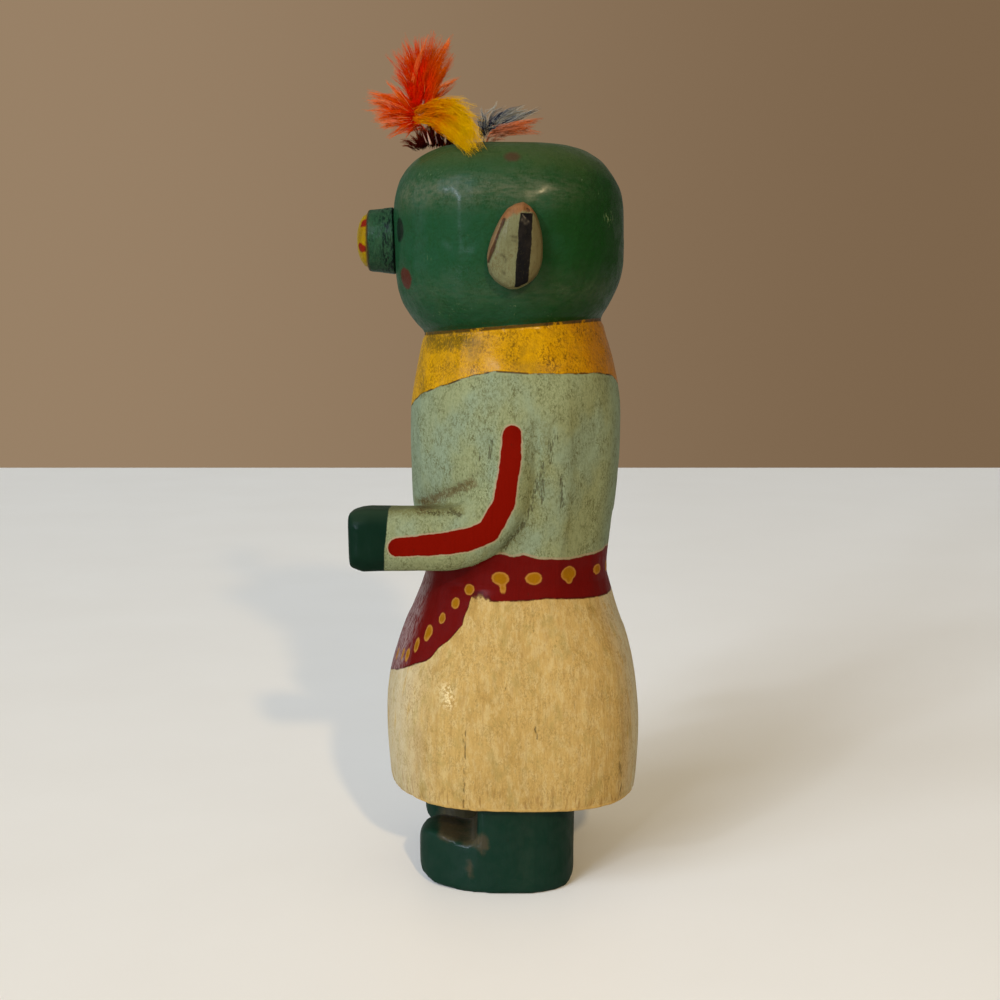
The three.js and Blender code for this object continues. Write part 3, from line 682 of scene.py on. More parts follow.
def specks_group():
    """Small scratches and specks that thicken where more dirt gathers."""
    inputs = {"Gathered": ("Float", 0.0), "Everywhere": ("Float", 0.1)}
    tree, recipe, start, end = new_group("specks", inputs, {"Mask": "Float"})
    scratch = recipe.speckle(0.42, (1, 1, 4.5), detail=4, roughness=0.68)
    speck = recipe.speckle(0.4, detail=3, roughness=0.75)
    fleck = recipe.math("MAXIMUM", recipe.math("SUBTRACT", scratch, 0.02), speck)
    amount = recipe.math("ADD", start["Gathered"], start["Everywhere"])
    limit = recipe.math("MULTIPLY_ADD", amount, -0.24, 0.72)
    recipe.feed(end["Mask"], recipe.rise(recipe.math("SUBTRACT", fleck, limit), 0.0, 0.09))
    return tree


def film_group():
    """A thin broken film over the paint: rubbed-on dirt, stains and darker olive patches."""
    tree, recipe, start, end = new_group("film", {"Rubbed": ("Float", 0.0)}, {"Mask": "Float"})
    broken = recipe.speckle(0.6, (1, 1, 1.4), detail=4, roughness=0.75)
    lift = recipe.math("MULTIPLY_ADD", start["Rubbed"], 0.4, -0.2)
    film = recipe.rise(recipe.math("ADD", broken, lift), 0.42, 0.68)
    recipe.feed(end["Mask"], recipe.math("MULTIPLY", film, recipe.rise(start["Rubbed"], 0.0, 0.9)))
    return tree


def flecks_group():
    """Fine uneven flecks, as thin paint leaves on wood."""
    tree, recipe, start, end = new_group("flecks", {"Amount": ("Float", 0.5)}, {"Mask": "Float"})
    fine = recipe.rise(recipe.speckle(0.42, (1, 1, 1.5), detail=3, roughness=0.75), 0.41, 0.62)
    coarse = recipe.rise(recipe.speckle(1.2, (1, 1, 1.8), detail=3, roughness=0.7), 0.38, 0.62, 0.45, 1)
    fine = recipe.math("MULTIPLY", fine, coarse)
    thicker = recipe.rise(recipe.speckle(5, detail=3), 0.35, 0.62, 0.3, 1)
    recipe.feed(end["Mask"], recipe.math("MULTIPLY", recipe.math("MULTIPLY", fine, thicker), start["Amount"]))
    return tree


def scuff_group():
    """Thin pale scratches where something has rubbed."""
    inputs = {"Amount": ("Float", 0.5), "Rubbed": ("Float", 0.0)}
    tree, recipe, start, end = new_group("scuffs", inputs, {"Mask": "Float"})
    worn = recipe.math("MAXIMUM", recipe.rise(recipe.speckle(9, detail=2), 0.6, 0.75), start["Rubbed"])
    lines = recipe.speckle(0.35, (1, 1.6, 5), detail=2, distortion=0.6)
    scratches = recipe.rise(recipe.math("MULTIPLY_ADD", start["Rubbed"], 0.08, lines), 0.62, 0.72)
    shown = recipe.math("MULTIPLY", worn, scratches)
    recipe.feed(end["Mask"], recipe.math("MULTIPLY", shown, start["Amount"]))
    return tree


def new_material(name, **shader_values):
    """A material with plain values on its shader, and its recipe."""
    material = bpy.data.materials.new(name)
    material.use_nodes = True
    recipe = Recipe(material.node_tree)
    shader = material.node_tree.nodes["Principled BSDF"]
    for socket, value in shader_values.items():
        shader.inputs[socket.replace("_", " ").title().replace("Ior", "IOR")].default_value = value
    return material, recipe, shader


def add_bump(recipe, shader, height):
    """Raises the surface by a height in millimetres."""
    bump = recipe.add("ShaderNodeBump", {"Height": height, "Distance": MM, "Strength": 1.0})
    recipe.feed(shader.inputs["Normal"], bump.outputs[0])


EDGE = brushed_edge_group()
TONE = paint_tone_group()
GRAIN = wood_grain_group()
SPECKS = specks_group()
FILM = film_group()
FLECKS = flecks_group()
SCUFFS = scuff_group()

# ---------- Paints ----------

LOW_IOR = 1.06  # thin matt paint: little shine from in front, more along its edges
HEAD_GREEN = (linear(20, 57, 33), linear(24, 55, 24))
HEAD_DARK = linear(12, 42, 6)
COLLAR_YELLOW = (linear(170, 123, 1), linear(122, 90, 8))
HEAD_TOP = linear(50, 62, 30)
# The pale grey green of the head's painted highlight and reflection.
HEAD_SHEEN_GREEN = linear(104, 98, 78)
COLLAR_BROWN = linear(142, 88, 1)
COLLAR_FLECK = linear(88, 58, 2)
NECK_STAIN = linear(66, 54, 8)
COLLAR_EDGE_BROWN = linear(56, 34, 10)
SAGE = (linear(120, 125, 89), linear(103, 105, 69))
SAGE_BLUE_AND_SHEEN = linear(110, 125, 105)
SAGE_BROWN = linear(72, 72, 42)
DIRT_BROWN = linear(46, 40, 24)
SMEAR_BROWN = linear(76, 60, 32)
OLIVE_FILM = linear(86, 82, 44)
CREASE_BROWN = linear(34, 26, 10)
MARK_BROWN = linear(50, 42, 22)
STRIPE_RED = (linear(96, 8, 1), linear(78, 4, 0))
PALE_RIM = linear(140, 118, 92)
SASH_RED = (linear(82, 8, 5), linear(66, 4, 3))
SASH_EDGE = linear(46, 8, 5)
SASH_SHEEN_PINK = linear(128, 108, 102)
DOT_YELLOW = (linear(126, 82, 4), linear(84, 46, 4))
DOT_RIM = linear(142, 96, 36)
KILT_CREAM = (linear(161, 132, 76), linear(140, 110, 55))
KILT_PALE = linear(170, 148, 98)
KILT_COOL_SHEEN = linear(172, 164, 138)
KILT_BROWN = linear(112, 80, 38)
KILT_FLECK = linear(112, 88, 42)
KILT_RIM = linear(186, 150, 84)
KILT_OLIVE = linear(128, 112, 62)
VARNISH_GLINTS = linear(206, 186, 136)
FOOT_GREEN = (linear(12, 36, 25), linear(8, 27, 18))
HAND_GREEN = (linear(8, 29, 18), linear(5, 22, 13))
HAND_LIT_TOP = linear(30, 44, 30)
BARE_BROWN = (linear(58, 50, 36), linear(80, 68, 38))
BRICK_RED = linear(64, 16, 8)
CROWN_RED = linear(60, 34, 24)
EYE_DARK = linear(10, 17, 11)
SCUFF_PALE = linear(92, 110, 74)


def tone(recipe, paints, streaks, patches):
    """A paint with its own variation."""
    outputs = recipe.group(TONE, paint=paints[0], thin=paints[1], streaks=streaks, patches=patches)
    return outputs["Color"]


def edge_mask(recipe, name, waver=0.4, softness=0.12, shift=0.0):
    """Where a paint lies whose distance is stored under this name."""
    inside = recipe.attribute(name)
    if shift:
        inside = recipe.math("ADD", inside, shift)
    return recipe.group(EDGE, inside=inside, waver=waver, softness=softness)["Mask"]


def line_mask(recipe, name, shift, width, kept):
    """A broken line along the edge of the paint of this name. Kept is the share of noise that still shows."""
    off = recipe.math("ABSOLUTE", recipe.math("ADD", recipe.attribute(name), shift))
    line = recipe.rise(off, width * 0.4, width, 1, 0)
    return recipe.math("MULTIPLY", line, recipe.rise(recipe.speckle(2.6, detail=3), kept, kept + 0.1))


def flecked(recipe, amount, below, flecks):
    """A paint with fine flecks of another colour in it."""
    return recipe.blend(recipe.group(FLECKS, amount=amount)["Mask"], below, flecks)


def sage_paint(recipe):
    """The body's grey green, bluish in places and finely mottled."""
    bluish = recipe.rise(recipe.speckle(11, (1, 1, 1.5), detail=4), 0.42, 0.66)
    # Bluish also where the skin turns away: a painted sheen; elsewhere in random patches.
    turned = recipe.math("MULTIPLY", recipe.attribute("turned"), 0.85)
    bluish = recipe.math("MAXIMUM", recipe.math("MULTIPLY", bluish, 0.6), turned)
    sage = recipe.blend(bluish, tone(recipe, SAGE, 0.45, 0.25), SAGE_BLUE_AND_SHEEN)
    mottles = recipe.rise(recipe.speckle(0.8, (1, 1, 1.6), detail=4, roughness=0.7), 0.5, 0.66)
    worn = recipe.rise(recipe.speckle(6, detail=2), 0.35, 0.6, 0.15, 0.45)
    sage = recipe.blend(recipe.math("MULTIPLY", mottles, worn), sage, SAGE_BROWN)
    return flecked(recipe, 0.9, sage, SAGE_BROWN)


def kilt_paint(recipe, grain):
    """The kilt's cream over wood, browner towards the hem, with a pale rubbed edge."""
    cream = tone(recipe, KILT_CREAM, 0.3, 0.75)
    paler = recipe.rise(recipe.speckle(1.6, (1, 1, 2), detail=5, roughness=0.7), 0.45, 0.62)
    cream = recipe.cover(paler, 0.6, cream, KILT_PALE)
    cream = recipe.cover(grain["Streaks"], 0.3, cream, KILT_BROWN)
    cream = recipe.cover(grain["Pores"], 0.5, cream, SAGE_BROWN)
    # Cooler strokes where the skin turns away: a painted sheen.
    cool_strokes = recipe.rise(recipe.speckle(1.2, (1, 1, 6)), 0.25, 0.5)
    cool_sheen = recipe.math("MULTIPLY", recipe.attribute("turned"), cool_strokes)
    cream = recipe.cover(cool_sheen, 0.9, cream, KILT_COOL_SHEEN)
    height = recipe.height_of("Z")
    strokes = recipe.rise(recipe.speckle(0.7, (1, 1, 5), detail=2), 0.5, 0.68)
    low = recipe.math("MULTIPLY", recipe.rise(height, HEM + 1, HEM + 9, 1, 0), strokes)
    cream = recipe.cover(low, 0.6, cream, KILT_BROWN)
    cream = flecked(recipe, 0.6, cream, KILT_FLECK)
    specks = recipe.group(SPECKS, gathered=0.0, everywhere=0.22)["Mask"]
    cream = recipe.cover(specks, 0.45, cream, MARK_BROWN)
    olive = recipe.rise(recipe.speckle(3.2, (1, 1, 1.8), detail=4, roughness=0.7), 0.5, 0.68)
    cream = recipe.cover(olive, 0.4, cream, KILT_OLIVE)
    # Pale flecks on the kilt's varnish blob: painted glints, over its real gloss and relief.
    broken = recipe.rise(recipe.speckle(0.7, detail=3), 0.46, 0.56)
    blob = recipe.math("MULTIPLY", recipe.attribute("varnish"), broken)
    cream = recipe.cover(blob, 0.7, cream, VARNISH_GLINTS)
    rubbed = recipe.math("MULTIPLY", recipe.attribute("hem"), recipe.rise(recipe.speckle(1.6), 0.3, 0.5))
    return recipe.cover(rubbed, 0.85, cream, KILT_RIM)


def sash_paint(recipe):
    """Deep red, with pale strokes down the front: a painted sheen where the sash turns towards the window."""
    red = tone(recipe, SASH_RED, 0.3, 0.4)
    strokes = recipe.rise(recipe.speckle(0.55, (1, 1, 12), detail=3), 0.34, 0.62)
    return recipe.cover(recipe.math("MULTIPLY", strokes, recipe.attribute("sash_sheen")), 0.9,
                        red, SASH_SHEEN_PINK)


def head_paint(recipe):
    """The head's green, bluish towards the face and darker towards the back."""
    cloud = recipe.speckle(13, detail=3)
    darker = recipe.rise(recipe.math("MULTIPLY_ADD", cloud, 26, recipe.height_of("Y")), 14, 30)
    green = tone(recipe, HEAD_GREEN, 0.3, 0.6)
    green = recipe.cover(darker, 0.85, green, HEAD_DARK)
    upper = recipe.rise(recipe.math("MULTIPLY_ADD", cloud, 8, recipe.height_of("Z")), 170, 177)
    green = recipe.cover(upper, 0.85, green, HEAD_TOP)
    # Pale strokes along the top bevel and the jaw: a painted highlight and a painted reflection.
    strokes = recipe.rise(recipe.speckle(0.9, (1, 5, 1.2), detail=4, roughness=0.7), 0.3, 0.7, 0.06, 0.38)
    green = recipe.blend(recipe.math("MULTIPLY", strokes, recipe.attribute("painted_sheen")), green, HEAD_SHEEN_GREEN)
    return flecked(recipe, 0.6, green, HEAD_DARK)


def collar_paint(recipe):
    """The collar's yellow, with stains in patches, and browner towards the back."""
    yellow = tone(recipe, COLLAR_YELLOW, 0.15, 0.75)
    uneven_y = recipe.math("MULTIPLY_ADD", recipe.speckle(8, detail=3), 24, recipe.height_of("Y"))
    back = recipe.rise(uneven_y, 20, 36)
    yellow = recipe.cover(back, 0.85, yellow, COLLAR_BROWN)
    return flecked(recipe, 1.0, yellow, COLLAR_FLECK)


# Every paint on the carving: the distance that it reads, how its edge wavers, how soft it is, and a shift.
FIGURE_EDGES = {
    "collar": ("collar", 0.35),
    "head": ("head", 0.15),
    "kilt": ("kilt", 0.3, 0.15),
    "sash_or_kilt": ("sash", 0.3),
    "dots": ("dots", 0.25, 0.14),
    "dot_middles": ("dots", 0.4, 0.25, -0.32),
    "stripe": ("stripe", 0.3, 0.08),
    "stripe_rim": ("stripe", 0.32, 0.14, 0.32),
    "hand": ("hand", 0.2),
    "feet": ("feet", 0.1),
    "bare": ("bare", 1.1, 0.8),
    "eye": ("eye", 0.25, 0.25),
    "cheek": ("cheek", 0.5, 0.25),
    "spot": ("spot", 0.5, 0.7),
}


def body_colour(recipe, masks, specks, smear, film):
    """The body's green and the collar's yellow, with rubbed-on dirt and darker olive patches."""
    colour = recipe.blend(masks["collar"], sage_paint(recipe), collar_paint(recipe))
    colour = recipe.cover(line_mask(recipe, "sash", 0.25, 0.4, 0.3), 0.6, colour, PALE_RIM)
    colour = recipe.cover(masks["stripe_rim"], 0.75, colour, PALE_RIM)
    colour = recipe.cover(film, 0.7, colour, OLIVE_FILM)
    colour = recipe.cover(smear, 0.8, colour, SMEAR_BROWN)
    colour = recipe.cover(specks, 0.7, colour, DIRT_BROWN)
    return recipe.cover(line_mask(recipe, "collar", 0.05, 0.3, 0.46), 0.75, colour, COLLAR_EDGE_BROWN)


def skirt_colour(recipe, masks, grain):
    """The sash with its dots, and the kilt below it."""
    colour = recipe.blend(masks["kilt"], sash_paint(recipe), kilt_paint(recipe, grain))
    colour = recipe.cover(line_mask(recipe, "kilt", 0.15, 0.35, 0.36), 0.55, colour, SASH_EDGE)
    dot_colour = recipe.blend(masks["dot_middles"], DOT_RIM, tone(recipe, DOT_YELLOW, 0.2, 0.8))
    return recipe.blend(masks["dots"], colour, dot_colour)


def with_head(recipe, masks, colour):
    """The head's green with its crease, its stains and the marks of its face."""
    colour = recipe.blend(masks["head"], colour, head_paint(recipe))
    colour = recipe.cover(line_mask(recipe, "head", 0.3, 0.55, 0.3), 0.85, colour, CREASE_BROWN)
    stain = recipe.group(FILM, rubbed=recipe.attribute("stain"))["Mask"]
    colour = recipe.cover(stain, 0.75, colour, NECK_STAIN)
    colour = recipe.cover(masks["cheek"], 0.85, colour, BRICK_RED)
    colour = recipe.cover(masks["spot"], 0.7, colour, CROWN_RED)
    return recipe.cover(masks["eye"], 0.9, colour, EYE_DARK)


def with_hands_and_feet(recipe, masks, colour):
    """The dark green of hands and feet, and the wood where it is gone."""
    # Paler where a hand faces up: painted light from above.
    hand_paint = recipe.blend(recipe.attribute("upper"), tone(recipe, HAND_GREEN, 0.2, 0.4), HAND_LIT_TOP)
    colour = recipe.blend(masks["hand"], colour, hand_paint)
    colour = recipe.blend(masks["feet"], colour, tone(recipe, FOOT_GREEN, 0.2, 0.4))
    return recipe.cover(masks["bare"], 0.75, colour, tone(recipe, BARE_BROWN, 0.6, 0.5))


def figure_coat(recipe, masks, painted_red, yellow_only):
    """How much varnish lies on each paint, in patches."""
    coat = recipe.math("MULTIPLY_ADD", painted_red, 0.05, recipe.math("MULTIPLY", masks["head"], 0.18))
    coat = recipe.math("MULTIPLY_ADD", yellow_only, 0.16, coat)
    coat = recipe.math("MULTIPLY_ADD", recipe.attribute("varnish"), 0.5, coat)
    coat = recipe.math("MULTIPLY_ADD", masks["hand"], 0.06, coat)
    coat = recipe.math("MULTIPLY_ADD", masks["feet"], 0.16, coat)
    patchy = recipe.rise(recipe.speckle(2.6, detail=4, roughness=0.65), 0.3, 0.65, 0.45, 1.15)
    return recipe.math("MULTIPLY", coat, patchy)


def figure_height(recipe, masks, grain, specks, marks, painted_red, yellow_only):
    """The paint's relief in millimetres: its layers, brush strokes, grain, gloss, specks and marks."""
    layers = recipe.math("MULTIPLY", masks["stripe"], 0.07)
    layers = recipe.math("ADD", layers, recipe.math("MULTIPLY", masks["dots"], 0.06))
    layers = recipe.math("MULTIPLY_ADD", painted_red, 0.05, layers)
    layers = recipe.math("MULTIPLY_ADD", masks["collar"], 0.1, layers)
    brush = recipe.math("MULTIPLY", recipe.speckle(0.6, (1, 1, 6), detail=3), 0.035)
    orange_peel = recipe.math("MULTIPLY", recipe.speckle(1.4, detail=4), 0.06)
    bare_wood = recipe.math("MULTIPLY", masks["sash_or_kilt"], masks["kilt"])
    fibres = recipe.math("MULTIPLY", grain["Height"], recipe.math("MULTIPLY_ADD", bare_wood, 0.06, 0.015))
    height = recipe.math("ADD", recipe.math("ADD", layers, brush), recipe.math("ADD", orange_peel, fibres))
    glossy = recipe.math("MULTIPLY_ADD", yellow_only, 0.5, recipe.math("MULTIPLY", masks["head"], 0.34))
    glossy = recipe.math("MAXIMUM", glossy, recipe.attribute("varnish"))
    uneven_gloss = recipe.speckle(1.1, (1, 1.5, 1), detail=3, roughness=0.6)
    height = recipe.math("ADD", height, recipe.math("MULTIPLY", uneven_gloss, glossy))
    height = recipe.math("MULTIPLY_ADD", specks, -0.04, height)
    return recipe.math("MULTIPLY_ADD", marks, -0.12, height)


def figure_material():
    """All the paints on the carving, from the bare body up."""
    material, recipe, shader = new_material("painted_wood", ior=LOW_IOR, coat_roughness=0.2)
    masks = {name: edge_mask(recipe, *edge) for name, edge in FIGURE_EDGES.items()}
    above_kilt = recipe.math("SUBTRACT", 1.0, masks["kilt"])
    masks["dots"] = recipe.math("MULTIPLY", masks["dots"], above_kilt)
    painted_red = recipe.math("MULTIPLY", masks["sash_or_kilt"], above_kilt)
    yellow_only = recipe.math("MULTIPLY", masks["collar"], recipe.math("SUBTRACT", 1.0, masks["head"]))
    grain = recipe.group(GRAIN)
    smear = recipe.group(FILM, rubbed=recipe.attribute("smear"))["Mask"]
    film = recipe.group(FILM, rubbed=recipe.attribute("olive"))["Mask"]
    gathered_dirt = recipe.math("MULTIPLY", film, 0.3)
    gathered_dirt = recipe.math("MULTIPLY_ADD", recipe.attribute("smear"), 0.6, gathered_dirt)
    specks = recipe.group(SPECKS, gathered=gathered_dirt, everywhere=0.1)["Mask"]
    strokes = recipe.speckle(0.34, (1, 1, 7), detail=2)
    marks = recipe.rise(recipe.math("MULTIPLY_ADD", recipe.attribute("marks"), 0.4, strokes), 0.72, 0.86)

    colour = body_colour(recipe, masks, specks, smear, film)
    colour = recipe.blend(masks["sash_or_kilt"], colour, skirt_colour(recipe, masks, grain))
    colour = recipe.blend(masks["stripe"], colour, tone(recipe, STRIPE_RED, 0.2, 0.5))
    colour = with_head(recipe, masks, colour)
    colour = with_hands_and_feet(recipe, masks, colour)
    colour = recipe.cover(marks, 0.65, colour, MARK_BROWN)
    rubbed = recipe.rise(recipe.attribute("scuff"), 0.0, 1.2)
    scuffs = recipe.group(SCUFFS, amount=0.8, rubbed=rubbed)["Mask"]
    colour = recipe.blend(recipe.math("MULTIPLY", scuffs, masks["head"]), colour, SCUFF_PALE)
    recipe.feed(shader.inputs["Base Color"], colour)

    recipe.feed(shader.inputs["Coat Weight"], figure_coat(recipe, masks, painted_red, yellow_only))
    roughness = recipe.rise(recipe.speckle(2.2, detail=4, roughness=0.65), 0.3, 0.7, 0.45, 0.62)
    recipe.feed(shader.inputs["Roughness"], roughness)
    add_bump(recipe, shader, figure_height(recipe, masks, grain, specks, marks, painted_red, yellow_only))
    return material


def make_figure():
    """The carving: head, body, arms, kilt and feet."""
    figure = even_skin("figure", "painted_figure", FIGURE_VOXEL)
    carve(figure.data)
    mark_paint(figure.data)
    figure.data.materials.append(figure_material())
    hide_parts("figure")
    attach(figure, "root")


# ---------- Snout and ears ----------

SMALL_VOXEL = 0.28 * MM
SNOUT_RIM_Y = -31.7
SNOUT_RED = [(4.9, 152.8, 1.1), (5.2, 158.8, 1.3)]  # x, z and radius, on both sides
EAR_STRIPE = [(5.8, 158.6), (5.5, 155.5), (5.35, 151.8), (5, 147.5), (4.6, 142)]
EAR_STRIPE_HALF_WIDTH = 1.45
EAR_STRIPE_TOP = 158.9
EAR_BARE_ABOVE = 157.6
EAR_CRACK = [(0.9, 157.4), (-0.9, 152.7), (-2.6, 148.2)]
EAR_PIT = [(6, 159.8), (6.4, 159.3)]
EAR_TICKS = [[(2.2, 153.7), (3.5, 153.4)], [(2.7, 152.7), (3.6, 152.6)], [(0.4, 149.7), (1.3, 148.8)],
             [(1.3, 148.8), (1.1, 147.9)], [(0.6, 146.2), (1, 145.6)]]
EAR_PAINT = (linear(95, 95, 66), linear(64, 62, 36))
EAR_BACK_PAINT = linear(78, 68, 40)
EAR_BLACK = (linear(12, 11, 11), linear(34, 28, 22))
EAR_WOOD = (linear(114, 70, 38), linear(76, 44, 22))
EAR_PINK = linear(98, 70, 44)
SNOUT_GREEN = (linear(30, 60, 38), linear(56, 76, 52))
SNOUT_DARK = linear(5, 18, 14)
SNOUT_YELLOW = (linear(130, 104, 1), linear(100, 72, 4))
SNOUT_PAINT_RED = (linear(104, 20, 4), linear(84, 18, 5))
RIM_BROWN = linear(44, 24, 12)


def small_piece(node, name, material, mark, cuts):
    """A finely meshed copy of a small wooden piece, cut and then marked for its paint."""
    piece = even_skin(node, name, SMALL_VOXEL)
    mesh = piece.data
    points = relaxed(mesh, places(mesh), 3)
    put(mesh, points)
    normals = outward(mesh)
    points = points + normals * (0.1 * waver(points, 2.4, 5) + 0.04 * waver(points, 0.9, 6))[:, None]
    for stroke in cuts:
        points = cut(points, normals, **stroke)
    put(mesh, points)
    mark(mesh)
    mesh.materials.append(material)
    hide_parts(node)
    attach(piece, "root")


def mark_snout(mesh):
    """Stores the snout's painted end, its rim and its red patches."""
    x, y, z = places(mesh).T
    store(mesh, "end", SNOUT_RIM_Y - y)
    store(mesh, "rim", 0.3 - np.abs(y - SNOUT_RIM_Y))
    red = [radius - np.hypot(np.abs(x) - px, z - pz) for px, pz, radius in SNOUT_RED]
    store(mesh, "red", np.max(red, axis=0))


def mark_ear(mesh):
    """Stores the ear's stripe, its worn tip, its front edge and its small dark marks."""
    _, y, z = places(mesh).T
    outer = smoothstep(np.abs(outward(mesh)[:, 0]), 0.2, 0.45)
    gap, _ = route_distance(y, z, EAR_STRIPE)
    store(mesh, "stripe", np.minimum(EAR_STRIPE_HALF_WIDTH - gap, EAR_STRIPE_TOP - z) - 4 * (1 - outer))
    store(mesh, "bare", z - EAR_BARE_ABOVE - smoothstep(y, 3.4, 4.8))
    heights, ys = [z for _, z in EAR_STRIPE][::-1], [y for y, _ in EAR_STRIPE][::-1]
    store(mesh, "behind", y - np.interp(z, heights, ys) - EAR_STRIPE_HALF_WIDTH)
    heights, ys = [z for _, z in EAR_CRACK][::-1], [y for y, _ in EAR_CRACK][::-1]
    store(mesh, "edge", np.interp(z, heights, ys) - y)
    marks = [0.3 - route_distance(y, z, route)[0] for route in (EAR_CRACK, EAR_PIT)]
    ticks = [0.32 - route_distance(y, z, route)[0] for route in EAR_TICKS]
    store(mesh, "marks", np.max(marks, axis=0))
    store(mesh, "ticks", np.max(ticks, axis=0))


def snout_material():
    """Green round the side in rings of brush strokes, yellow with red patches on the end."""
    material, recipe, shader = new_material("snout_paint", ior=LOW_IOR, coat_weight=0.1, coat_roughness=0.2)
    rings = recipe.speckle(0.45, (4, 1, 4), detail=3, roughness=0.6)
    near_head = recipe.rise(recipe.height_of("Y"), -29.5, -27)
    darkening = recipe.math("MULTIPLY_ADD", near_head, 0.75, 0.2)
    dark = recipe.math("MULTIPLY", recipe.rise(rings, 0.46, 0.6), darkening)
    green = flecked(recipe, 0.6, tone(recipe, SNOUT_GREEN, 0.4, 0.9), SNOUT_DARK)
    green = recipe.blend(dark, green, SNOUT_DARK)
    end = edge_mask(recipe, "end", 0.15)
    rim = edge_mask(recipe, "rim", 0.4, 0.3)
    red = edge_mask(recipe, "red", 0.5, 0.25)
    yellow = tone(recipe, SNOUT_YELLOW, 0.3, 0.7)
    yellow = recipe.blend(red, yellow, tone(recipe, SNOUT_PAINT_RED, 0.3, 0.6))
    colour = recipe.blend(end, green, yellow)
    colour = recipe.cover(rim, 0.75, colour, RIM_BROWN)
    specks = recipe.group(SPECKS, gathered=0.2, everywhere=0.1)["Mask"]
    colour = recipe.cover(specks, 0.4, colour, DIRT_BROWN)
    recipe.feed(shader.inputs["Base Color"], colour)
    recipe.feed(shader.inputs["Roughness"], recipe.rise(rings, 0.3, 0.7, 0.4, 0.6))
    relief = recipe.math("MULTIPLY", rings, 0.2)
    add_bump(recipe, shader, recipe.math("MULTIPLY_ADD", recipe.speckle(1.1), 0.06, relief))
    return material


def ear_material():
    """Cream over wood, with a black stripe, a worn tip and dirt in its scratches."""
    material, recipe, shader = new_material("ear_paint", ior=LOW_IOR, coat_weight=0.04, coat_roughness=0.2)
    behind = edge_mask(recipe, "behind", 0.2, 0.35)
    cream = recipe.cover(behind, 0.8, tone(recipe, EAR_PAINT, 0.4, 0.7), EAR_BACK_PAINT)
    front = edge_mask(recipe, "edge", 0.5, 0.4)
    colour = recipe.cover(front, 0.7, flecked(recipe, 0.8, cream, EAR_BACK_PAINT), EAR_PINK)
    stripe = edge_mask(recipe, "stripe", 0.3, 0.1)
    colour = recipe.blend(stripe, colour, tone(recipe, EAR_BLACK, 0.3, 0.6))
    bare = edge_mask(recipe, "bare", 1.8, 0.7)
    colour = recipe.cover(bare, 0.8, colour, tone(recipe, EAR_WOOD, 0.5, 1.0))
    marks = edge_mask(recipe, "marks", 0.3, 0.12)
    ticks = edge_mask(recipe, "ticks", 0.6, 0.3)
    colour = recipe.cover(ticks, 0.55, colour, DIRT_BROWN)
    specks = recipe.group(SPECKS, gathered=0.4, everywhere=0.1)["Mask"]
    colour = recipe.cover(specks, 0.5, colour, DIRT_BROWN)
    colour = recipe.cover(marks, 0.85, colour, RIM_BROWN)
    recipe.feed(shader.inputs["Base Color"], colour)
    recipe.feed(shader.inputs["Roughness"], recipe.rise(recipe.speckle(1.5), 0.3, 0.7, 0.45, 0.65))
    height = recipe.math("MULTIPLY", recipe.speckle(0.5, (1, 1, 2), detail=4), 0.12)
    height = recipe.math("MULTIPLY_ADD", stripe, 0.06, height)
    add_bump(recipe, shader, recipe.math("MULTIPLY_ADD", marks, -0.15, height))
    return material


def make_snout():
    """The peg on the face."""
    small_piece("snout", "painted_snout", snout_material(), mark_snout, [])


def make_ears():
    """Both ears, in one paint."""
    material = ear_material()
    crack = {"route": EAR_CRACK, "depth": 0.25, "width": 0.35}
    pit = {"route": EAR_PIT, "depth": 0.6, "width": 0.6}
    for side in ("left", "right"):
        small_piece(f"ear_{side}", f"painted_ear_{side}", material, mark_ear, [crack, pit])


# ---------- Feathers ----------

BARB_POINTS = 6
BARB_RADIUS = 0.045  # where it grows
BARB_TIP = 0.014
CLUMP_BARBS = 9  # barbs that cling together to one tip
CLUMP_CORE = 0.07
SIDEWAYS = 1.3  # how much wider a lock fans to the sides than along the feather
QUILL_RADIUS = 0.32
DEEP_ORANGE = (linear(204, 20, 1), linear(178, 34, 1), linear(178, 72, 3))  # root, middle and tip
SOFT_ORANGE = (linear(194, 30, 1), linear(204, 74, 4), linear(200, 96, 26))
YELLOW = (linear(188, 92, 1), linear(188, 126, 0), linear(202, 158, 2))
BLUE_GREY = (linear(34, 40, 56), linear(84, 88, 92), linear(112, 110, 102))
RED_WISP = (linear(160, 92, 60), linear(198, 98, 46), linear(180, 92, 50))
MAROON = (linear(44, 6, 3), linear(66, 14, 6), linear(104, 40, 18))
NOWHERE = (60, 61)  # behind every feather
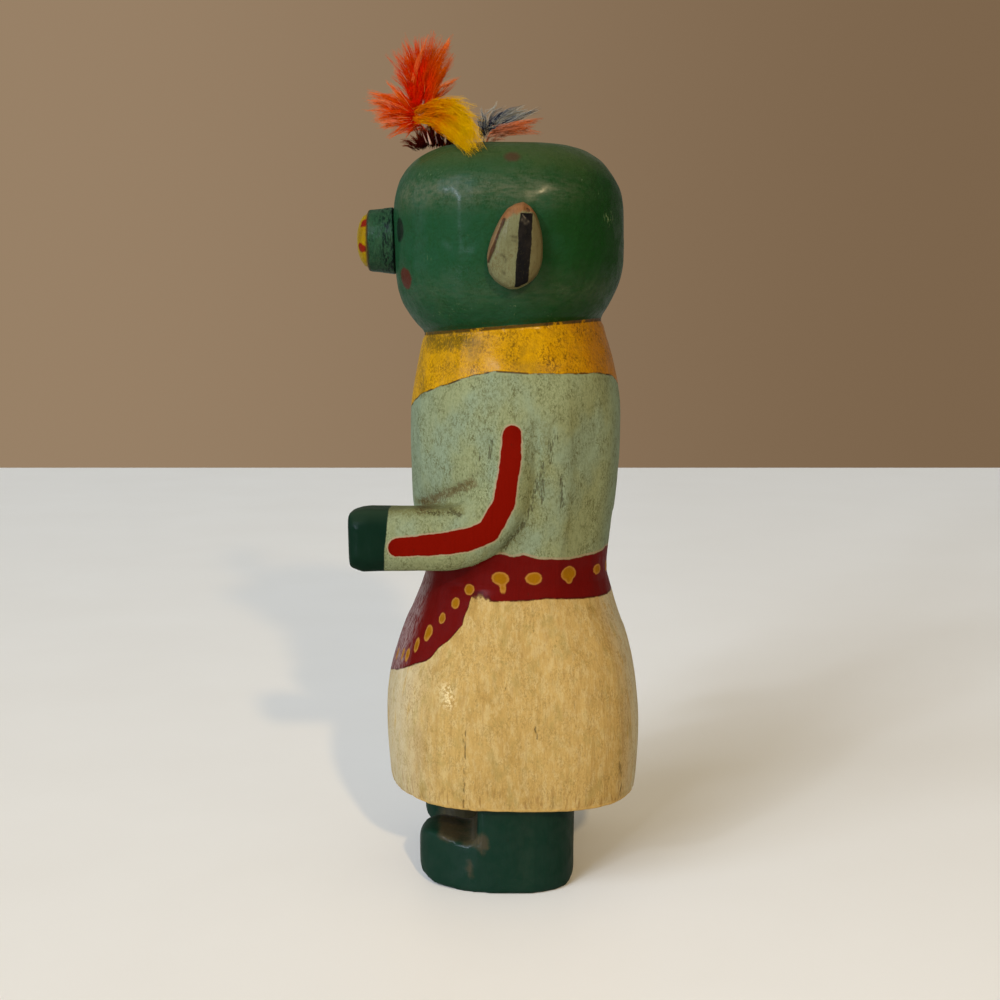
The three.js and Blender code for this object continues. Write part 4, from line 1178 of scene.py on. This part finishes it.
# turns is where along y, from front to back, the dye turns to its tip colour. pale is the share of pale
# barbs, faded is their colour from 0 to 255, and wavy is how far a barb ripples. A lock is where it starts
# and ends, as (x, y, z), how far it bows up, how wide it fans, and about how many barbs it has.
FEATHERS = {
    "feather_orange_tall": {
        "slot": "orange_feather", "colours": DEEP_ORANGE, "turns": (-20, -12), "pale": 0.01, "wavy": 0.12,
        "faded": (214, 112, 52),
        "quill": [(0.6, -13, 176.8), (0.5, -17.2, 184), (0.6, -18.4, 191), (0.8, -17, 199)],
        "locks": [
            ((0.5, -19.8, 187), (0.5, -25.7, 198.6), 0.14, 0.7, 120),
            ((0.5, -20, 186.5), (0.5, -25.6, 195), 0.16, 0.7, 90),
            ((0.5, -19.4, 187.5), (0.5, -23.8, 200.2), 0.12, 0.8, 150),
            ((0.5, -19.2, 188), (0.5, -22, 201.8), 0.08, 0.8, 150),
            ((0.5, -19, 188), (0.6, -19.6, 202.6), 0.03, 0.8, 150),
            ((0.5, -18.8, 188), (0.6, -16.8, 203.2), 0.03, 0.7, 130),
            ((0.5, -18.6, 187.5), (0.7, -14.4, 202), 0.05, 0.7, 130),
            ((0.5, -18.2, 187.5), (0.8, -12.2, 202.6), 0.07, 0.7, 100),
            ((0.5, -18, 187), (0.9, -11.8, 199.8), 0.1, 0.8, 130),
            ((0.5, -17.8, 186.5), (0.9, -10.6, 198.4), 0.08, 0.5, 90),
            ((0.5, -17.6, 186), (1, -12.6, 196), 0.1, 0.8, 110),
            ((0.5, -17.4, 185.5), (1, -13.2, 193.4), 0.1, 0.8, 90),
            ((0.5, -17.2, 186), (1.2, -10.2, 192.8), 0.02, 0.6, 40),
            ((0.5, -17.4, 184.5), (0.9, -14.8, 191), 0.06, 0.7, 90),
            ((0.5, -20.4, 184.5), (0.5, -23.4, 191), 0.08, 0.8, 90),
            ((0.8, -20, 184.5), (0.8, -18.6, 195), 0.0, 1.3, 190),
        ],
        "pale_locks": [
            ((1.6, -20.2, 192), (1.6, -17.4, 202.4), 0.08, 0.35, 18),
            ((1, -13, 199), (1, -11.8, 203.6), 0, 0.4, 18),
            ((1.2, -14.4, 190), (1.2, -9.9, 193), 0, 0.5, 18),
        ],
    },
    "feather_orange_front": {
        "slot": "orange_feather", "colours": SOFT_ORANGE, "turns": NOWHERE, "pale": 0.05, "wavy": 0.2,
        "faded": (216, 128, 84),
        "quill": [(2.6, -14.6, 176.8), (2.8, -18.6, 181.6), (3, -23, 184.8), (3, -28, 186)],
        "locks": [
            ((2.6, -20.4, 184.5), (2.8, -27.4, 192.4), 0.06, 0.35, 60),
            ((2.6, -20.4, 184.5), (2.8, -25.6, 190), 0.05, 0.7, 90),
            ((2.8, -20.6, 184), (3, -31.4, 189.8), 0.1, 0.5, 100),
            ((2.8, -20.6, 183.6), (3, -31.4, 187.4), 0.1, 0.8, 110),
            ((3, -20.4, 183.2), (3.2, -30.8, 184.8), 0.12, 0.9, 120),
            ((3, -20.2, 182.8), (3.2, -29.8, 182.6), 0.12, 0.8, 110),
            ((3, -20, 182.4), (3.4, -28.6, 180.8), 0.12, 0.8, 100),
            ((3, -19.6, 182), (3.4, -26.4, 179.2), 0.1, 0.8, 90),
            ((3, -19, 182), (3.4, -23.6, 179.8), 0.08, 0.8, 80),
            ((3, -19.4, 183), (3, -24.4, 186.4), 0.05, 1.2, 130),
        ],
        "pale_locks": [
            ((3.6, -24, 184), (3.6, -30.6, 188), 0.14, 0.7, 26),
            ((3.8, -23, 182), (3.8, -29.4, 182.6), 0.12, 0.8, 22),
        ],
    },
    "feather_yellow": {
        "slot": "yellow_feather", "colours": YELLOW, "turns": (-14, -6), "pale": 0.0, "wavy": 0.05,
        "faded": (214, 190, 60),
        "quill": [(5.4, -14, 176.8), (6, -18.4, 183.6), (11, -13.6, 186.4), (19, -8.4, 181)],
        "locks": [
            ((5.6, -19.6, 184), (10, -12.6, 186.6), 0.12, 0.8, 170),
            ((6.4, -18.8, 184.6), (14, -9, 185.6), 0.1, 0.9, 200),
            ((7, -18, 184.6), (17, -6.6, 183.2), 0.14, 1.0, 230),
            ((8, -16.8, 184.4), (20, -5.6, 180.4), 0.18, 1.0, 260),
            ((9, -16, 184), (22.5, -4.4, 177.4), 0.2, 0.9, 260),
            ((9, -16, 183.4), (24, -4, 174.6), 0.2, 0.8, 260),
            ((9, -16, 182.6), (25, -5.2, 172.6), 0.17, 0.55, 240),
            ((9, -15.8, 182), (25, -6.2, 172.2), 0.12, 0.3, 200),
            ((9, -15.6, 181.8), (22, -8.4, 174.6), 0.08, 0.4, 220),
            ((8, -17.2, 182.2), (19, -9.8, 177.2), 0.1, 0.5, 200),
            ((8, -17.6, 183), (17, -9, 180.6), 0.14, 0.9, 200),
            ((6.4, -19.6, 182.6), (13, -13, 180.6), 0.12, 0.5, 160),
            ((6, -20, 182.8), (9, -17, 181.2), 0.1, 0.6, 90),
        ],
        "pale_locks": [],
    },
    "feather_blue": {
        "slot": "blue_feather", "colours": BLUE_GREY, "turns": NOWHERE, "pale": 0.2, "wavy": 0.08,
        "faded": (172, 168, 150),
        "quill": [(0.6, -4, 176.8), (0.7, -3.9, 179), (0.8, -3.2, 181.5), (0.8, 1, 184)],
        "locks": [
            ((0.7, -3.8, 180), (0.6, -5.8, 184.9), 0.04, 0.3, 36),
            ((0.7, -3.8, 180), (0.8, -4.7, 186), 0.02, 0.3, 36),
            ((0.7, -3.8, 180), (0.8, -3.6, 185), 0, 0.3, 36),
            ((0.7, -4.2, 179.4), (0.8, -3.4, 183), 0, 0.7, 80),
            ((0.8, -3.2, 181), (0.9, 1.8, 186.8), 0.12, 0.2, 27),
            ((0.8, -3, 181), (1, 6, 187.1), 0.14, 0.2, 54),
            ((0.8, -2.8, 180.8), (1, 10, 186), 0.0, 0.22, 63),
            ((0.8, -3, 180.4), (1, 4, 183), 0.0, 0.3, 45),
        ],
        "pale_locks": [
            ((0.6, -2, 181.6), (0.8, 8, 186.4), 0.08, 0.6, 63),
            ((0.6, -2, 181.2), (0.8, 7, 185), 0.05, 0.6, 54),
            ((0.8, -2.4, 184), (0.8, -0.2, 188.4), 0, 0.2, 18),
        ],
    },
    "feather_red_wisp": {
        "slot": "red_feather", "colours": RED_WISP, "turns": NOWHERE, "pale": 0.1, "wavy": 0.1,
        "faded": (178, 138, 112),
        "quill": [(2.4, -3.4, 176.8), (2.5, -3, 178.4), (2.6, -2.2, 180.2), (2.8, 2, 181.4)],
        "locks": [
            ((2.6, -2.4, 179.8), (2.8, 10.4, 183), 0.04, 0.18, 50),
            ((2.6, -2.2, 179.8), (3, 8, 180.9), 0.06, 0.3, 60),
            ((2.6, -2.2, 179.8), (3, 10, 179.8), 0.09, 0.18, 44),
        ],
        "pale_locks": [
            ((2.6, -2.8, 178.2), (3, 1.4, 178.8), 0.1, 0.6, 40),
        ],
    },
    "feather_root_tuft": {
        "slot": "maroon_feather", "colours": MAROON, "turns": NOWHERE, "pale": 0.01, "wavy": 0.2,
        "faded": (176, 140, 120),
        "quill": [(8, -15.6, 176.6), (8, -15.9, 177.4), (8, -16.2, 178.4), (8, -16.4, 179.6)],
        "locks": [
            ((7.6, -10, 176.2), (7.8, -9, 179), 0.05, 0.8, 110),
            ((7.6, -12, 176.2), (7.8, -11.4, 180), 0.05, 0.9, 150),
            ((7.6, -14, 176.2), (7.8, -13.4, 180.6), 0.05, 0.9, 170),
            ((7.6, -16, 176.2), (7.8, -15.8, 181), 0.05, 0.9, 180),
            ((7.5, -17.6, 176.2), (7.8, -18, 180.6), 0.06, 0.9, 170),
            ((7.4, -18.4, 176), (7.8, -19.6, 179.8), 0.08, 0.7, 110),
            ((7.2, -18.4, 176), (7.4, -21, 178.2), 0.12, 0.5, 60),
            ((7.2, -18.4, 175.8), (7.4, -23.6, 176.4), 0.2, 0.3, 27),
            ((7, -18.4, 176.2), (7.2, -24.2, 178), 0.15, 0.5, 18),
        ],
        "pale_locks": [],
    },
}
BARE_QUILLS = [  # the shafts that show in the root tuft: foot, top, radius and how pale
    ((9, -16.2, 176.3), (9, -17.1, 179.4), 0.34, 1.0),
    ((8.6, -14.6, 176.6), (8.8, -15.3, 179.2), 0.26, 0.35),
    ((8.6, -17.2, 176.8), (8.8, -18.2, 179.4), 0.16, 0.8),
]


def spread(rng, amount):
    """A small random step, as often one way as the other."""
    return Vector([rng.gauss(0, amount) for _ in range(3)])


def bent(root, middle, tip, wave, rng):
    """The points of one strand that bends past its middle and ripples towards its tip."""
    sideways = spread(rng, 1).normalized() * wave
    phase = rng.uniform(0, math.tau)
    points = []
    for i in range(BARB_POINTS):
        t = i / (BARB_POINTS - 1)
        point = root * (1 - t) ** 2 + middle * (2 * t * (1 - t)) + tip * t * t
        points.append(point + sideways * math.sin(phase + 7 * t) * t)
    return points


def clumps_of(lock, wavy, rng):
    """The strands of one lock as (points, radius, shade): clumps of barbs, each round a thicker core."""
    start, end, bow, fan, count = lock
    start, end = Vector(start), Vector(end)
    reach = (end - start).length
    upward = Vector((0, -(end - start).z, (end - start).y))
    if upward.z < 0:
        upward = -upward
    strands = []
    for _ in range(max(2, round(count / CLUMP_BARBS))):
        share = 1 - 0.45 * rng.random() ** 1.7
        root = start.lerp(end, 0.25 * rng.random()) + spread(rng, 0.4)
        off = spread(rng, fan * share)
        tip = start.lerp(end, share) + Vector((off.x * SIDEWAYS, off.y, off.z))
        middle = root.lerp(tip, 0.5) + upward * bow + spread(rng, 0.04 * reach)
        shade = rng.random()
        strands.append((bent(root, middle, root.lerp(tip, 0.9), 0, rng), CLUMP_CORE, shade))
        for _ in range(CLUMP_BARBS):
            own_root = root + spread(rng, 0.35)
            own_middle = middle + spread(rng, 0.045 * reach + 0.1)
            own_tip = root.lerp(tip, rng.uniform(0.75, 1.04)) + spread(rng, 0.02 * reach + 0.06)
            own_shade = 0.6 * shade + 0.4 * rng.random()
            strands.append((bent(own_root, own_middle, own_tip, wavy, rng), BARB_RADIUS, own_shade))
    return strands


def line_points(route):
    """A quill's points, spaced as a barb's are."""
    shares = np.linspace(0, len(route) - 1, BARB_POINTS)
    columns = [np.interp(shares, range(len(route)), column) for column in zip(*route)]
    return [Vector(point) for point in zip(*columns)]


def make_feather(node, slot, colours, turns, faded, pale, wavy, quill, locks, pale_locks):
    """One feather: a quill and its locks of barbs, as one mesh."""
    rng = random.Random(sum(map(ord, node)))
    strands = [(line_points(quill), QUILL_RADIUS, 0.5, 0.3)]
    if node == "feather_root_tuft":
        strands += [(line_points([foot, top]), radius, 0, white) for foot, top, radius, white in BARE_QUILLS]
    for lock in locks:
        strands += [(*strand, float(rng.random() < pale)) for strand in clumps_of(lock, wavy, rng)]
    for lock in pale_locks:
        strands += [(*strand, rng.uniform(0.6, 1)) for strand in clumps_of(lock, wavy, rng)]
    curve = bpy.data.curves.new(node, "CURVE")
    curve.dimensions = "3D"
    curve.bevel_depth = MM
    curve.bevel_resolution = 0
    for points, radius, _, _ in strands:
        spline = curve.splines.new("POLY")
        spline.points.add(BARB_POINTS - 1)
        for i, point in enumerate(points):
            spline.points[i].co = (*(point * MM), 1)
            spline.points[i].radius = radius + (BARB_TIP - radius) * (i / (BARB_POINTS - 1)) ** 1.3
    bundle = bpy.data.objects.new(node + "_curves", curve)
    bpy.context.collection.objects.link(bundle)
    seen = bundle.evaluated_get(bpy.context.evaluated_depsgraph_get())
    shape = bmesh.new()
    shape.from_mesh(seen.to_mesh())
    seen.to_mesh_clear()
    bpy.data.objects.remove(bundle)
    bmesh.ops.holes_fill(shape, edges=[edge for edge in shape.edges if edge.is_boundary])
    piece = linked("dyed_" + node, shape)
    mesh = piece.data
    ring = len(mesh.vertices) // (len(strands) * BARB_POINTS)
    store(mesh, "along", np.tile(np.repeat(np.linspace(0, 1, BARB_POINTS), ring), len(strands)))
    store(mesh, "shade", np.repeat([shade for _, _, shade, _ in strands], BARB_POINTS * ring))
    store(mesh, "pale", np.repeat([white for _, _, _, white in strands], BARB_POINTS * ring))
    mesh.materials.append(feather_material(node, colours, turns, linear(*faded)))
    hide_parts(node)
    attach(piece, "root")


def feather_material(name, colours, turns, faded):
    """Dyed down: a colour for a barb's root, its middle and its tip, with pale barbs among them."""
    material, recipe, shader = new_material(name, roughness=0.9, ior=1.01)
    along = recipe.attribute("along")
    patches = recipe.speckle(3, detail=2)
    shift = recipe.math("MULTIPLY_ADD", recipe.math("SUBTRACT", patches, 0.5), 0.8, along)
    colour = recipe.blend(recipe.rise(shift, 0.2, 0.6), colours[0], colours[1])
    colour = recipe.blend(recipe.rise(shift, 0.6, 1.05), colour, colours[2])
    colour = recipe.cover(recipe.attribute("shade"), 0.4, colour, colours[0])
    uneven_y = recipe.math("MULTIPLY_ADD", patches, 4, recipe.height_of("Y"))
    aside = recipe.rise(uneven_y, turns[0] + 2, turns[1] + 2, 0, 0.8)
    colour = recipe.blend(aside, colour, colours[2])
    colour = recipe.cover(recipe.attribute("pale"), 0.8, colour, faded)
    recipe.feed(shader.inputs["Base Color"], colour)
    return material


# ---------- The scene ----------


def table_material():
    """Pale laminate with a faint grain."""
    material, recipe, shader = new_material("pale_table", roughness=0.42)
    cloud = recipe.speckle(60, detail=3)
    colour = recipe.blend(cloud, linear(232, 228, 218), linear(226, 221, 210))
    # Darker and warmer towards the right: painted shade, where less light falls on the table.
    shade_to_right = recipe.rise(recipe.height_of("Y"), 0, 160, 0, 0.35)
    colour = recipe.blend(shade_to_right, colour, linear(214, 205, 190))
    recipe.feed(shader.inputs["Base Color"], colour)
    return material


bpy.context.scene.view_settings.view_transform = "Standard"
make_camera()
for pane_name, pane in WINDOWS.items():
    make_daylight(pane_name, **pane)
make_lamp()
make_room()
make_figure()
make_snout()
make_ears()
for feather_name, feather in FEATHERS.items():
    make_feather(feather_name, **feather)
